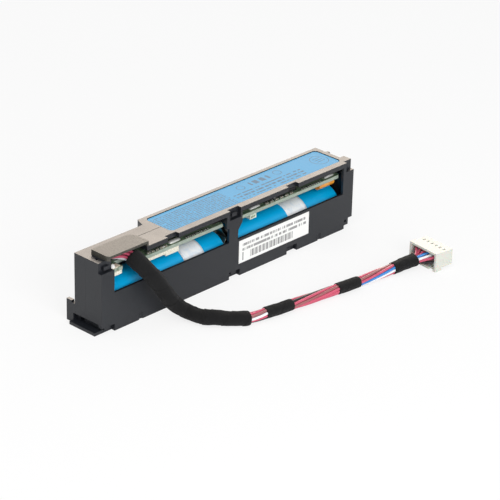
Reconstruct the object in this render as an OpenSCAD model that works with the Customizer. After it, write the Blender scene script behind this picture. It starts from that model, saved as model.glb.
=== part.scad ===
// Backup battery module for a disk controller: two cylindrical cells end to end under a
// protection board, in a snapped two-half housing, with a taped wire lead and a twelve-way plug.
// The housing is drawn from its front left bottom corner: x along it, y to the rear, z up.
// placed() then moves it so that the origin is under the middle of the whole housing.

/* [Cells] */
// Diameter of a cell in its sleeve
cell_d = 18.3; // [17.5:0.1:19]
// Length of a cell over its end cap
cell_l = 65; // [60:0.5:70]
// Thickness of the shrink sleeve round a cell
skin_t = 0.15; // [0.1:0.05:0.3]
// Diameter of the raised cap at a cell's positive end
cap_d = 6.6; // [5:0.2:8]
// Height of the raised cap
cap_h = 0.6; // [0.4:0.1:1.2]
// Gap between a cell and the plastic round it
cell_clear = 0.15; // [0.15:0.05:0.4]
// Space between the two cells
mid_bay = 6.8; // [6.4:0.2:9]
// Space from the left end face to the first cell
left_bay = 8.5; // [8.1:0.1:12]
// Space from the second cell to the right end of the front face
right_bay = 6.7; // [6.3:0.1:9]

/* [Housing] */
// Thickness of the front and rear walls
wall = 1.2; // [1:0.1:1.8]
// Thickness of the two end walls
end_wall = 1.6; // [1.2:0.1:1.8]
// Thickness of the floor
floor_t = 1.4; // [1.2:0.1:2]
// Thickness of the top
top_t = 2.1; // [1.8:0.1:3]
// Room between the board and the underside of the top
headroom = 3.5; // [3.3:0.1:6]
// Depth of the front half, from the front face to the seam
seam_y = 9.5; // [9.2:0.1:10.3]
// Depth of the narrow upper part at the left, where the rear steps in
narrow_w = 16; // [15:0.2:18]
// Length of the narrow upper part
narrow_l = 38; // [32:0.5:46]
// Height of the shelf where the rear steps in
shelf_z = 20.4; // [20.4:0.1:22]
// How far the right end is set back behind the front corner
end_step = 2.5; // [1.5:0.1:3]
// Depth of the corner that keeps the full length
corner_w = 6.2; // [4:0.2:8]
// Length of the tongue at the foot of the left end
tongue_l = 2.2; // [1:0.1:4]
// Thickness of that tongue
tongue_t = 1.4; // [1:0.1:2]
// Height of the slot above the tongue
end_slot_h = 3.1; // [2:0.1:4]

/* [Windows] */
// Height of the window sills
sill_z = 17.4; // [14:0.2:18]
// Width of the left column beside the window
left_col = 7.2; // [6:0.2:8]
// Width of the right column beside the window
right_col = 6.7; // [5:0.1:7.4]
// Middle post, from the middle of the bay to its upper left edge
post_left = 5; // [4:0.1:6]
// Middle post, from the middle of the bay to its upper right edge
post_right = 4.3; // [3.5:0.1:6]
// How far the post steps in below on its left
post_step = 1.5; // [0.5:0.1:2]
// How far the post slants in below on its right
post_slant = 2.4; // [0.5:0.1:2.6]
// Length of the open gate above the board where the wires leave
gate_l = 18.2; // [16:0.2:20]

/* [Snaps] */
// Width of a snap notch in the front edge
notch_w = 6.4; // [5:0.2:8]
// Depth of a snap notch
notch_d = 1.9; // [1.4:0.1:2.2]
// Height of a notch at the foot of the front
foot_notch_h = 3.2; // [2.8:0.1:4]
// Depth of an upper snap pocket, down from the top
pocket_h = 4.4; // [3.8:0.1:4.6]
// Thickness of the block behind a pocket
block_t = 1; // [0.8:0.1:1.4]
// Width of a snap arm
arm_w = 3; // [2:0.1:3.6]
// Thickness of a snap arm
arm_t = 1.1; // [0.8:0.1:1.2]
// Running gap round a snap arm
snap_clear = 0.2; // [0.1:0.05:0.3]

/* [Wire cover] */
// Length of the raised cover over the wires
cover_l = 22.2; // [21:0.2:24]
// Depth of the cover
cover_w = 10.2; // [9.6:0.1:12]
// Height of the cover above the top
cover_h = 2.2; // [1.8:0.1:4]
// Thickness of the cover
cover_t = 1.1; // [0.8:0.1:1.4]
// Where the cover starts, from the left end
cover_x = 4; // [3:0.1:5]
// Reach of the cover's two legs into the housing
leg_h = 3; // [2.2:0.1:4]

/* [Labels] */
// Depth of the label bed in the top
bed_d = 0.4; // [0.2:0.1:0.6]
// Thickness of a label
label_t = 0.15; // [0.1:0.05:0.2]
// Gap round a label in its bed
label_clear = 0.2; // [0.1:0.05:0.4]
// Rim left round the top label's bed at front and rear
rim_front = 3.4; // [2.5:0.1:5]
// Rim left behind the label's bed
rim_rear = 1.8; // [1.4:0.1:3]
// Rim between the label's bed and the right end
rim_right = 2.2; // [1.5:0.1:4]
// Where the label's bed starts, from the left end
bed_x = 42.4; // [41:0.2:50]
// Length of the label on the front face
side_label_l = 44.2; // [30:0.2:60]
// Height of the label on the front face
side_label_h = 11; // [8:0.2:11.4]
// Height of that label's lower edge
side_label_z = 5.4; // [4:0.1:5.8]

/* [Board] */
// Thickness of the circuit board
board_t = 1.6; // [1:0.1:2]
// Height of the board above the cells
board_gap = 5; // [4.4:0.1:8]
// Gap between the board's edges and the walls
board_clear = 1; // [0.5:0.1:1.2]
// Where the board starts, from the left end
board_x = 4.5; // [3.5:0.1:5.5]
// Width of the slot in the board for the middle straps
slot_l = 9; // [8.6:0.1:11]
// Depth of the slot in the board's front edge
slot_w = 8.4; // [7.4:0.1:9]
// Width of the ledge that the board rests on
ledge_w = 1.6; // [1.2:0.1:2.4]
// Height of the foam strip under the board's front edge
foam_h = 2.4; // [1:0.1:3]

/* [Straps] */
// Thickness of a nickel strap
strap_t = 0.3; // [0.2:0.05:0.3]
// Width of a nickel strap
strap_w = 4.6; // [4:0.1:5]
// Width of the tape band round a cell
tape_w = 13; // [8:0.5:20]
// Thickness of that tape
tape_t = 0.12; // [0.06:0.02:0.12]

/* [Lead] */
// Diameter of the cloth sleeve where it leaves the housing
sleeve_d1 = 7.6; // [6:0.2:8]
// Diameter of the cloth sleeve at its far end
sleeve_d2 = 5.8; // [5.4:0.2:6.2]
// Diameter of a tape wrap
wrap_d = 5.2; // [5.1:0.1:5.6]
// Diameter of one insulated wire
wire_d = 1; // [0.8:0.05:1.05]

/* [Plug] */
// Distance between two positions in a row
pitch = 2.5; // [2.4:0.1:3]
// Positions in a row
ways = 6; // [4:1:7]
// Turn of the plug on the surface that it lies on
plug_turn = 7; // [0:1:10]
// Length of the plug along the wires
plug_l = 10; // [9:0.1:12]
// Wall round the outer positions
plug_wall = 1; // [0.9:0.1:1.6]
// Width of a terminal's cavity
cavity_w = 1.7; // [1.6:0.05:1.9]
// How far the collar stands proud of the plug's body
collar_step = 1.2; // [0.6:0.1:1.2]
// Depth of the collar round the wire entry
collar_l = 2.4; // [1.6:0.1:3]

/* [Hidden] */
$fn = 48;
over = 1;               // how far a cut runs past the face that it opens

// Stack of heights
cell_r = cell_d / 2;
axis_y = wall + cell_clear + cell_r;
axis_z = floor_t + cell_clear + cell_r;
body_w = 2 * axis_y;
cell_top = axis_z + cell_r;
board_z = cell_top + board_gap;
board_top = board_z + board_t;
roof_z = board_top + headroom;
body_h = roof_z + top_t;

// Places along the length
cell_x1 = left_bay;
cell_x2 = cell_x1 + cell_l + mid_bay;
body_l = cell_x2 + cell_l + right_bay;
mid_x = cell_x1 + cell_l + mid_bay / 2;
main_l = body_l - end_step;
inner_r = main_l - end_wall;
window_r = body_l - right_col;
gate_end = left_col + gate_l;

// Snap stations: both end columns, the middle post and half way between them
left_st = left_col / 2;
right_st = body_l - right_col / 2;
stations = [left_st, (left_st + mid_x) / 2, mid_x, (mid_x + right_st) / 2, right_st];
pocket_z = body_h - pocket_h;
arm_low_z = floor_t + snap_clear;
arm_high_z = pocket_z + 1;

module placed() translate([-(body_l - tongue_l) / 2, -body_w / 2, 0]) children();

// A box between two corners
module box(a, b) translate(a) cube(b - a);

// An outline in x and z, given a thickness in y
module wall_plate(outline, y, t) translate([0, y + t, 0]) rotate([90, 0, 0])
    linear_extrude(t) polygon(outline);

// ---------------------------------------------------------------- housing

// Plan of each half. The front corner on the right is longer than the rest of the end.
front_plan = [[0, 0], [body_l, 0], [body_l, corner_w], [main_l, corner_w],
    [main_l, seam_y], [0, seam_y]];
rear_plan_low = [[0, seam_y], [main_l, seam_y], [main_l, body_w], [0, body_w]];
slant = (body_w - narrow_w) * 0.4;
rear_plan_high = [[0, seam_y], [main_l, seam_y], [main_l, body_w],
    [narrow_l + slant, body_w], [narrow_l, narrow_w], [0, narrow_w]];

// The steps under the right end, where the next tray's tongue goes
foot_z = [1.7, 4.7];
foot_in = [5.1, end_step];

module right_end_steps() {
    box([body_l - foot_in[0], -over, -over], [body_l + over, body_w + over, foot_z[0]]);
    box([body_l - foot_in[1], -over, -over], [body_l + over, body_w + over, foot_z[1]]);
}

// The slot above the tongue in the left end wall
tongue_y = [notch_d, body_w - 4];
module end_slot() box([-over, tongue_y[0], tongue_t],
    [end_wall + 0.2, tongue_y[1], tongue_t + end_slot_h]);
module tongue() box([-tongue_l, tongue_y[0], 0], [end_wall, tongue_y[1], tongue_t]);

// A rib that carries the cell from below, in one half between the wall and the seam
rib_t = 1.4;
rib_z = sill_z - 2.6;
rib_places = [cell_x1 + 5, cell_x1 + 21, cell_x1 + cell_l - 21, cell_x1 + cell_l - 5,
    cell_x2 + 5, cell_x2 + 21, cell_x2 + cell_l - 21, cell_x2 + cell_l - 5];
module saddles(y0, y1) difference() {
    for (x = rib_places)
        box([x - rib_t / 2, y0, floor_t - 0.1], [x + rib_t / 2, y1, rib_z]);
    translate([cell_x1, axis_y, axis_z]) rotate([0, 90, 0])
        cylinder(r = cell_r + cell_clear, h = cell_x2 - cell_x1 + cell_l);
}

// The middle post between the windows, cut away below on both sides
post_z = [sill_z + 4.4, sill_z + 7.6];
left_window = [[left_col, sill_z], [mid_x - post_left + post_step, sill_z],
    [mid_x - post_left + post_step, post_z[1] - 1], [mid_x - post_left, post_z[1] - 0.6],
    [mid_x - post_left, roof_z], [left_col, roof_z]];
right_window = [[mid_x + post_right - post_slant, sill_z], [window_r, sill_z],
    [window_r, roof_z], [mid_x + post_right, roof_z], [mid_x + post_right, post_z[1]],
    [mid_x + post_right - post_slant, post_z[0]]];

// Pockets: half the width either side of a station, and the end ones run out of the end
function notch_from(i) = i == 0 ? -over : stations[i] - (i == 4 ? right_col / 2 - 1.8 : notch_w / 2);
function notch_to(i) = i == 0 ? left_col : i == 4 ? body_l + over : stations[i] + notch_w / 2;

module upper_notches() for (i = [0 : 4])
    box([notch_from(i), -over, pocket_z], [notch_to(i), notch_d, body_h + over]);
module foot_notches() for (i = [0 : 3])
    box([notch_from(i), -over, -over], [notch_to(i), notch_d, foot_notch_h]);

// Blocks that close the pockets behind, each with a slot for its snap arm
module pocket_blocks() {
    box([0, 0, pocket_z - block_t], [left_col, notch_d + block_t, body_h]);
    box([mid_x - post_left, 0, pocket_z - block_t],
        [mid_x + post_right, notch_d + block_t, body_h]);
    box([notch_from(4) - block_t, 0, pocket_z - block_t],
        [body_l, notch_d + block_t, body_h]);
    for (i = [0 : 3]) box([max(0, notch_from(i) - block_t), 0, 0],
        [notch_to(i) + block_t, notch_d + block_t, foot_notch_h + block_t]);
}
arm_stations = [stations[0], stations[2]];
module arm_slots() for (x = arm_stations, z = [arm_low_z, arm_high_z])
    box([x - arm_w / 2 - snap_clear, notch_d - over, z - snap_clear],
        [x + arm_w / 2 + snap_clear, notch_d + block_t + 0.2, z + arm_t + snap_clear]);

// Catch holes beside the blocks of the other two foot notches
module catch_holes() for (i = [1, 3]) box([notch_from(i) + 0.6, notch_d - over, floor_t + 0.1],
    [stations[i] + 0.4, notch_d + block_t + 0.2, foot_notch_h + 0.1]);

// Arms of the rear half, each with a barb that catches in front of its block
barb = 0.5;
module snap_arms() for (x = arm_stations, z = [arm_low_z, arm_high_z]) {
    box([x - arm_w / 2, notch_d - 1.2, z], [x + arm_w / 2, seam_y + 3, z + arm_t]);
    box([x - arm_w / 2, notch_d - 1.2, z],
        [x + arm_w / 2, notch_d - snap_clear, z + arm_t + barb]);
}
// The bay ends that root the arms in the rear half
module arm_roots() for (x = arm_stations) {
    box([x - arm_w / 2, seam_y, floor_t - 0.1], [x + arm_w / 2, seam_y + 3, arm_low_z + arm_t]);
    box([x - arm_w / 2, seam_y, arm_high_z], [x + arm_w / 2, seam_y + 3, roof_z + 0.1]);
}

// Bed for the top label, with its corners cut
bed = [bed_x, main_l - rim_right, rim_front, body_w - rim_rear];
module label_outline(inset) {
    x0 = bed[0] + inset;
    x1 = bed[1] - inset;
    y0 = bed[2] + inset;
    y1 = bed[3] - inset;
    cut = 1.3;
    polygon([[x0 + cut, y0], [x1 - cut, y0], [x1, y0 + cut], [x1, y1 - cut], [x1 - cut, y1],
        [x0 + cut, y1], [x0, y1 - cut], [x0, y0 + cut]]);
}
module label_bed() translate([0, 0, body_h - bed_d])
    linear_extrude(bed_d + over) label_outline(0);

side_label_x = mid_x + 2.4;
module side_label_bed() box([side_label_x, -over, side_label_z],
    [side_label_x + side_label_l, label_t, side_label_z + side_label_h]);

// Half-round finger grooves at the foot of the front face
groove_r = 1.3;
groove_x = [22, body_l - 21.3];
module finger_grooves() for (x = groove_x) translate([x, -0.7, -over])
    cylinder(r = groove_r, h = foot_notch_h + over);

// Small keyhole beside the cover, and the gauge hole low on the right
module pin_holes() {
    box([1.9, 4.6, roof_z - over], [3.2, 6.2, body_h + over]);
    box([body_l - foot_in[0] + 0.2, -over, 3.1], [body_l - foot_in[0] + 1.3, wall + 0.2, 4.3]);
}

// Ledge that carries the board at the left end of the front half
board_y0 = wall + board_clear;
left_ledge_x = board_x + 2;
module front_ledge() box([0, wall - 0.2, board_z - 3], [left_ledge_x, seam_y - 3, board_z]);

module front_shell() color("#33363b") placed() difference() {
    union() {
        difference() {
            linear_extrude(body_h) polygon(front_plan);
            box([end_wall, wall, floor_t], [inner_r, seam_y + over, roof_z]);
        }
        saddles(wall - 0.2, seam_y);
        pocket_blocks();
        front_ledge();
        intersection() {
            tongue();
            box([-tongue_l, 0, 0], [end_wall, seam_y, tongue_t]);
        }
    }
    wall_plate(left_window, -over, wall + over + 0.01);
    wall_plate(right_window, -over, wall + over + 0.01);
    box([left_col, -over, sill_z + 1], [gate_end, wall + 0.01, body_h + over]);
    box([left_col, -over, roof_z - over], [gate_end, seam_y + over, body_h + over]);
    upper_notches();
    foot_notches();
    arm_slots();
    catch_holes();
    right_end_steps();
    end_slot();
    label_bed();
    side_label_bed();
    finger_grooves();
    pin_holes();
}

// The thin end plate and its wedge at the rear left corner
plate_z = 9.8;
low_shelf_z = 6;
module rear_corner_cut() {
    box([-over, narrow_w, plate_z], [left_bay - 2, body_w + over, body_h]);
    box([end_wall, narrow_w + wall, low_shelf_z], [left_bay - 2, body_w + over, plate_z + over]);
    wall_plate([[-over, plate_z - 0.9], [-over, plate_z + over], [end_wall + over, plate_z + over],
        [end_wall + over, plate_z - 0.9]], narrow_w, 2);
}

// The rear half's own board ledge runs along its wall and across the right end
module rear_ledge() {
    box([narrow_l + slant, body_w - wall - ledge_w - 0.4, board_z - 1.4],
        [inner_r + 0.1, body_w - wall + 0.1, board_z]);
    box([inner_r - 4, end_strap_y + strap_w + 0.6, board_z - 1.4],
        [inner_r + 0.1, body_w - wall + 0.1, board_z]);
    box([cell_x1 + 5.6, narrow_w - wall - ledge_w - 0.4, board_z - 1.4],
        [narrow_l, narrow_w - wall + 0.1, board_z]);
}

module rear_cavity() {
    // below the shelf the cavity takes the whole cell
    box([left_bay - 2 + end_wall, seam_y - over, floor_t],
        [inner_r, body_w - wall, shelf_z - wall]);
    // the short bay before the first cell
    box([end_wall, seam_y - over, floor_t], [left_bay, narrow_w - wall, shelf_z]);
    // above the shelf it follows the stepped plan
    translate([0, 0, shelf_z - wall]) linear_extrude(roof_z - shelf_z + wall)
        polygon([[end_wall, seam_y - over], [inner_r, seam_y - over], [inner_r, body_w - wall],
            [narrow_l + slant + wall, body_w - wall], [narrow_l + wall * 0.6, narrow_w - wall],
            [end_wall, narrow_w - wall]]);
}

// Small latch nub on the right end
nub_y = body_w * 2 / 3;
module latch_nub() box([main_l - 0.5, nub_y - 0.7, body_h - 1.6], [main_l + 1.2, nub_y + 0.7, body_h]);

module rear_shell() color("#33363b") placed() difference() {
    union() {
        difference() {
            union() {
                linear_extrude(shelf_z) polygon(rear_plan_low);
                linear_extrude(body_h) polygon(rear_plan_high);
            }
            rear_cavity();
        }
        intersection() {
            saddles(seam_y, body_w - wall + 0.2);
            box([0, seam_y, 0], [body_l, body_w, shelf_z]);
        }
        rear_ledge();
        arm_roots();
        snap_arms();
        latch_nub();
        intersection() {
            tongue();
            box([-tongue_l, seam_y, 0], [end_wall, body_w, tongue_t]);
        }
    }
    rear_corner_cut();
    right_end_steps();
    end_slot();
    label_bed();
}

// ---------------------------------------------------------------- wire cover

// Plan of the cover: two opposite corners rounded, drawn as arcs
function arc(c, r, a0, a1, n = 6) = [for (i = [0 : n]) let (a = a0 + (a1 - a0) * i / n)
    c + r * [cos(a), sin(a)]];
function cover_plan(inset) = let (x0 = cover_x + inset, x1 = cover_x + cover_l - inset,
        y0 = 0, y1 = cover_w - inset, r = max(0.4, 1.9 - inset))
    concat(arc([x0 + r, y0 + r], r, 180, 270), [[x1, y0]],
        arc([x1 - 2 * r, y1 - 2 * r], 2 * r, 0, 90), [[x0, y1]]);

module cable_cover() color("#8f8c80") placed() {
    difference() {
        translate([0, 0, body_h]) linear_extrude(cover_h) polygon(cover_plan(0));
        translate([0, -over, body_h - over]) linear_extrude(cover_h - cover_t + over)
            polygon([[cover_x + cover_t, 0], [cover_x + cover_l - cover_t, 0],
                [cover_x + cover_l - cover_t, cover_w - 2 * cover_t + over - 1],
                [cover_x + cover_l - cover_t - 2, cover_w - cover_t + over],
                [cover_x + cover_t, cover_w - cover_t + over]]);
    }
    // two legs that grip the edges of the gate
    leg_y = [seam_y - 3, seam_y - 0.4];
    for (x = [left_col + label_clear, gate_end - label_clear - cover_t])
        box([x, leg_y[0], body_h - leg_h], [x + cover_t, leg_y[1], body_h + cover_h - cover_t / 2]);
}

// ---------------------------------------------------------------- labels

module top_label() color("#4fb4ee") placed() translate([0, 0, body_h - bed_d])
    linear_extrude(label_t) label_outline(label_clear);

module side_label() color("#f0f0ee") placed()
    box([side_label_x + label_clear, 0, side_label_z + label_clear],
        [side_label_x + side_label_l - label_clear, label_t,
            side_label_z + side_label_h - label_clear]);

// ---------------------------------------------------------------- cells

// A turned outline laid along x: the profile has radius first, then distance along the cell
module turned(profile) rotate([0, 90, 0]) rotate_extrude() polygon(profile);

// The steel can: its positive cap is at x = 0, with the crimp groove just behind it
can_r = cell_r - skin_t;
groove_at = 4;
module can() turned([[0, 0], [cap_d / 2 - 0.4, 0], [cap_d / 2, 0.3], [cap_d / 2, cap_h + 0.3],
    [can_r - 0.9, cap_h + 0.3], [can_r - 0.3, cap_h + skin_t], [can_r, cap_h + 0.8], [can_r, groove_at - 0.7],
    [can_r - 0.8, groove_at], [can_r, groove_at + 0.7], [can_r, cell_l - 0.6],
    [can_r - 0.5, cell_l - skin_t], [0, cell_l - skin_t]]);

// The shrink sleeve: a thin tube with a lip turned in at each end
module sleeve() turned([[can_r, cap_h + 0.8], [can_r - 0.3, cap_h + skin_t],
    [can_r - 0.6, cap_h + skin_t], [can_r - 0.6, cap_h], [can_r, cap_h], [cell_r, cap_h + 0.7],
    [cell_r, cell_l - 0.6], [can_r - 0.4, cell_l], [can_r - 1.6, cell_l],
    [can_r - 1.6, cell_l - skin_t], [can_r - 0.5, cell_l - skin_t], [can_r, cell_l - 0.6]]);

// The white paper ring round the positive cap
module end_ring() turned([[cap_d / 2 + 0.3, cap_h], [can_r - 0.9, cap_h],
    [can_r - 0.9, cap_h + 0.3], [cap_d / 2 + 0.3, cap_h + 0.3]]);

module tape_band() translate([-tape_w / 2, 0, 0]) turned([[cell_r, 0], [cell_r + tape_t, 0],
    [cell_r + tape_t, tape_w], [cell_r, tape_w]]);

module at_left_cell() placed() translate([cell_x1, axis_y, axis_z]) children();
module at_right_cell() placed() translate([cell_x2, axis_y, axis_z]) children();

module cell_left() color("#b9bcc0") at_left_cell() can();
module cell_right() color("#b9bcc0") at_right_cell() can();
module cell_sleeve_left() color("#0a9be6") at_left_cell() sleeve();
module cell_sleeve_right() color("#0a9be6") at_right_cell() sleeve();
module end_ring_left() color("#efefe8") at_left_cell() end_ring();
module end_ring_right() color("#efefe8") at_right_cell() end_ring();

tape_x1 = 46.5;         // middle of the band on the left cell, from that cell's cap
tape_x2 = 38.5;         // middle of the band on the right cell
module tape_left() color("#e6e7ec") at_left_cell() translate([tape_x1, 0, 0]) tape_band();
module tape_right() color("#e6e7ec") at_right_cell() translate([tape_x2, 0, 0]) tape_band();

// ---------------------------------------------------------------- straps

// A bent ribbon: the points of one face, thickened square to each leg
function leg_normal(a, b) = let (d = (b - a) / norm(b - a)) [-d[1], d[0]];
function corner(p, i, t) = let (n0 = leg_normal(p[max(i - 1, 0)], p[max(i, 1)]),
        n1 = leg_normal(p[min(i, len(p) - 2)], p[min(i + 1, len(p) - 1)]), s = n0 + n1)
    p[i] + t * 2 * s / (s * s);
module ribbon(p, t, y, w) wall_plate(concat(p, [for (i = [len(p) - 1 : -1 : 0]) corner(p, i, t)]), y, w);

strap_low = axis_z - 3;
end_strap_y = axis_y - strap_w / 2;
mid_strap_y = axis_y - cap_d / 2 + 1.4 - strap_w;
left_face = cell_x1 + cell_l;

// From the left cell's cap up to the board's underside
module strap_left_end() color("#b8b4a6") placed()
    ribbon([[cell_x1, strap_low], [cell_x1, board_z - strap_t],
        [cell_x1 + 5, board_z - strap_t]], strap_t, end_strap_y, strap_w);

// From the right cell's base up to the board's underside
module strap_right_end() color("#b8b4a6") placed()
    ribbon([[cell_x2 + cell_l - 5, board_z - strap_t], [cell_x2 + cell_l, board_z - strap_t],
        [cell_x2 + cell_l, strap_low]], strap_t, end_strap_y, strap_w);

// Slack bend from the left cell's base to the board's underside
slot_x = mid_x - slot_l / 2 - 0.8;
module strap_mid_left() color("#b8b4a6") placed()
    ribbon([[slot_x - 9, board_z - strap_t], [slot_x - 0.4, board_z - strap_t],
        [left_face + 1.9 + strap_t, cell_top - 2], [left_face + strap_t, cell_top - 5],
        [left_face + strap_t, strap_low]], strap_t, mid_strap_y, strap_w);

// Slack bend from the right cell's cap to the board's upper face
module strap_mid_right() color("#b8b4a6") placed()
    ribbon([[cell_x2, strap_low], [cell_x2, cell_top - 3.4], [mid_x - 0.6, cell_top + 1],
        [slot_x + 1.4, board_z + 0.4], [slot_x + 1, board_top + strap_t],
        [slot_x - 4, board_top + strap_t]], strap_t, mid_strap_y, strap_w);

// ---------------------------------------------------------------- board

board_r = cell_x2 + cell_l;
board_rear = body_w - wall - board_clear;
board_rear_narrow = narrow_w - wall - board_clear;
gate_notch = [gate_end - 11.6, gate_end + 0.4, 5.4];
module circuit_board() color("#7f9478") placed() difference() {
    translate([0, 0, board_z]) linear_extrude(board_t) polygon([[board_x, board_y0],
        [gate_notch[0], board_y0], [gate_notch[0], board_y0 + gate_notch[2]],
        [gate_notch[1], board_y0 + gate_notch[2]], [gate_notch[1], board_y0],
        [slot_x, board_y0], [slot_x, board_y0 + slot_w], [slot_x + slot_l, board_y0 + slot_w],
        [slot_x + slot_l, board_y0], [board_r - 1, board_y0], [board_r, board_y0 + 1],
        [board_r, board_rear], [narrow_l + slant + 2, board_rear],
        [narrow_l, board_rear_narrow], [board_x, board_rear_narrow]]);
    // half hole in the front edge and the fixing hole behind it
    translate([board_x + 6.4, board_y0, board_z - over]) cylinder(d = 1.6, h = board_t + 2 * over);
    translate([board_x + 3.4, board_rear_narrow - 2.4, board_z - over])
        cylinder(d = 2.2, h = board_t + 2 * over);
    // slots for the plug-through tabs
    for (x = tab_slots) box([x - 3.4, board_y0 + 1.5, board_z - over],
        [x + 3.4, board_y0 + 2.5, board_top + over]);
}
tab_slots = [cell_x1 + cell_l * 0.56, cell_x2 + cell_l * 0.195, board_r - 5.2];

// Strips under the board's front edge: thin card at the left, then two lengths of foam
foam_step = cell_x1 + cell_l * 0.455;
module foam_strip() color("#d9d6c4") placed() {
    box([left_bay + 0.4, board_y0, board_z - foam_h * 0.7],
        [gate_notch[0] - 0.4, board_y0 + 2, board_z]);
    box([gate_notch[1] + 0.3, board_y0, board_z - foam_h * 0.6],
        [foam_step, board_y0 + 2, board_z]);
    box([foam_step, board_y0, board_z - foam_h], [cell_x1 + cell_l * 0.572, board_y0 + 2, board_z]);
}

// A part soldered on the board's upper face: x of its middle, y of its front, then its size
module on_board(x, y, size) box([x - size[0] / 2, y, board_top],
    [x + size[0] / 2, y + size[1], board_top + size[2]]);

row_y = board_y0 + 0.5;        // front row of parts, in sight through the windows
back_y = board_y0 + slot_w + 1.6;

// A chip's body with its legs along both long sides
module chip(x, y, size, legs) {
    translate([x - size[0] / 2, y, board_top + 0.15]) cube([size[0], size[1], size[2] - 0.15]);
    for (i = [0 : legs - 1], s = [-0.8, size[1] - 0.15])
        translate([x + (i - (legs - 1) / 2) * size[0] * 0.86 / (legs - 1) - 0.17, y + s, board_top])
            cube([0.34, 0.95, 0.5]);
}
module gauge_chip() color("#26282a") placed() chip(cell_x1 + cell_l * 0.68, back_y - 3.2, [9.7, 4.4, 1.1], 15);
module power_chips() color("#26282a") placed()
    for (k = [0.34, 0.45, 0.56]) chip(cell_x2 + cell_l * k, row_y + 1.8, [4.9, 3.9, 1.5], 4);

module choke() color("#3a3c3e") placed() translate([cell_x2 + cell_l * 0.74, back_y - 0.6, board_top]) {
    difference() {
        cube([7, 6, 3]);
        translate([3.5, 3, 2.6]) cylinder(d = 4.6, h = over);
    }
}
module shunt_resistor() color("#2f3133") placed() on_board(cell_x2 + cell_l * 0.58, back_y + 0.4, [6.3, 3.2, 0.8]);

// Ceramic capacitors and chip resistors in the front row, left of and between the tab slots
cap_places = [for (i = [0 : 4]) gate_notch[1] + 3 + i * 2.4];
cap_places_right = [for (i = [0 : 5]) tab_slots[1] + 6 + i * 3.1];
res_places = [for (i = [0 : 5]) tab_slots[0] + 6 + i * 2.3];
res_places_right = [for (i = [0 : 4]) tab_slots[2] - 8 - i * 2.6];
module capacitors() color("#a89878") placed() for (x = concat(cap_places, cap_places_right))
    on_board(x, row_y - 0.2, [1.6, 0.8, 0.8]);
module resistors() color("#2b2c2e") placed() for (x = concat(res_places, res_places_right))
    on_board(x, row_y - 0.2, [1.6, 0.8, 0.5]);

// The small socket that hangs under the board, just right of the middle post
module board_socket() color("#cfd6c8") placed() difference() {
    box([cell_x2 + 8.2, board_y0 + 0.2, board_z - 2.2], [cell_x2 + 12, board_y0 + 5, board_z]);
    box([cell_x2 + 8.8, board_y0 - 0.8, board_z - 1.7], [cell_x2 + 11.4, board_y0 + 1.6, board_z - 0.7]);
}

// The fuse under the board, wrapped in amber film
module thermal_fuse() color("#e0962c") placed()
    translate([board_r - 11.5, board_y0 + 3.2, board_z - 1.7]) rotate([0, 90, 0]) {
        cylinder(r = 1.7, h = 9.6);
        translate([0, 0, -2.4]) cylinder(r = 0.35, h = 2.6);
    }

// Solder: a long mound on each tab slot and a dot by each pad
module mound(x, y, l, w, h) translate([x, y, board_top]) scale([l / w, 1, 1])
    intersection() {
        translate([0, 0, h - w / 2]) sphere(d = w, $fn = 20);
        translate([-w, -w, 0]) cube([2 * w, 2 * w, w]);
    }
dot_places = [gate_notch[1] + 1, tab_slots[0] - 7, cell_x2 + cell_l * 0.395,
    cell_x2 + cell_l * 0.615];
module solder_joints() color("#d8d8d2") placed() {
    for (x = tab_slots) box([x - 3.2, board_y0 + 1.6, board_top - 0.4],
        [x + 3.2, board_y0 + 2.4, board_top + 0.7]);
    for (x = dot_places) translate([x, board_y0 + 2.2, board_top]) cylinder(d1 = 1.5, d2 = 0.8, h = 0.6);
}

// Silicone bead that anchors the wires at the board's left end
module glue_bead() color("#f2f2f0") placed()
    translate([left_bay + 0.6, board_y0 + 1.3, board_top]) cylinder(d1 = 2.4, d2 = 1.4, h = 2.6, $fn = 24);

// ---------------------------------------------------------------- lead

// The lead's middle line, from the housing to the plug, in the finished part's own frame
route = [[-55.5, -8, 28.5], [-55, -12, 26.5], [-52.5, -15.5, 22.5], [-50.5, -17, 19],
    [-48.5, -18, 15.5], [-47, -19.5, 12], [-44.5, -20.5, 8.5], [-42.5, -22.5, 6],
    [-40, -24.5, 4.2], [-39.5, -28, 3.8], [-38, -31.5, 3.7], [-35.5, -34.5, 3.5],
    [-33, -37, 3.3], [-30.5, -39.5, 3.1], [-27.5, -42, 3], [-24.5, -44, 2.9],
    [-20.3, -45, 2.7], [-16, -45.7, 2.7], [-2.4, -47.9, 2.7],
    [9.5, -49.8, 2.7], [21, -51.4, 2.7], [33.8, -53.2, 2.7],
    [43.8, -54.2, 2.7], [53.2, -55, 2.8], [59.6, -55.8, 3.1], [66, -57, 3.6]];
sleeve_end = 15;
run_1_end = 17;
wrap_1_end = 18;
run_2_end = 20;
wrap_2_end = 21;
run_3_end = 23;
route_end = len(route) - 1;

function unit(v) = v / norm(v);
function heading(p, i) = unit(p[min(i + 1, len(p) - 1)] - p[max(i - 1, 0)]);
// One ring of a tube: n points round c, square to the heading t
function ring(c, t, r, n) = let (s = unit([t[1], -t[0], 0]), u = cross(s, t))
    [for (k = [0 : n - 1]) c + r * (cos(360 * k / n) * s + sin(360 * k / n) * u)];
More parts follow.
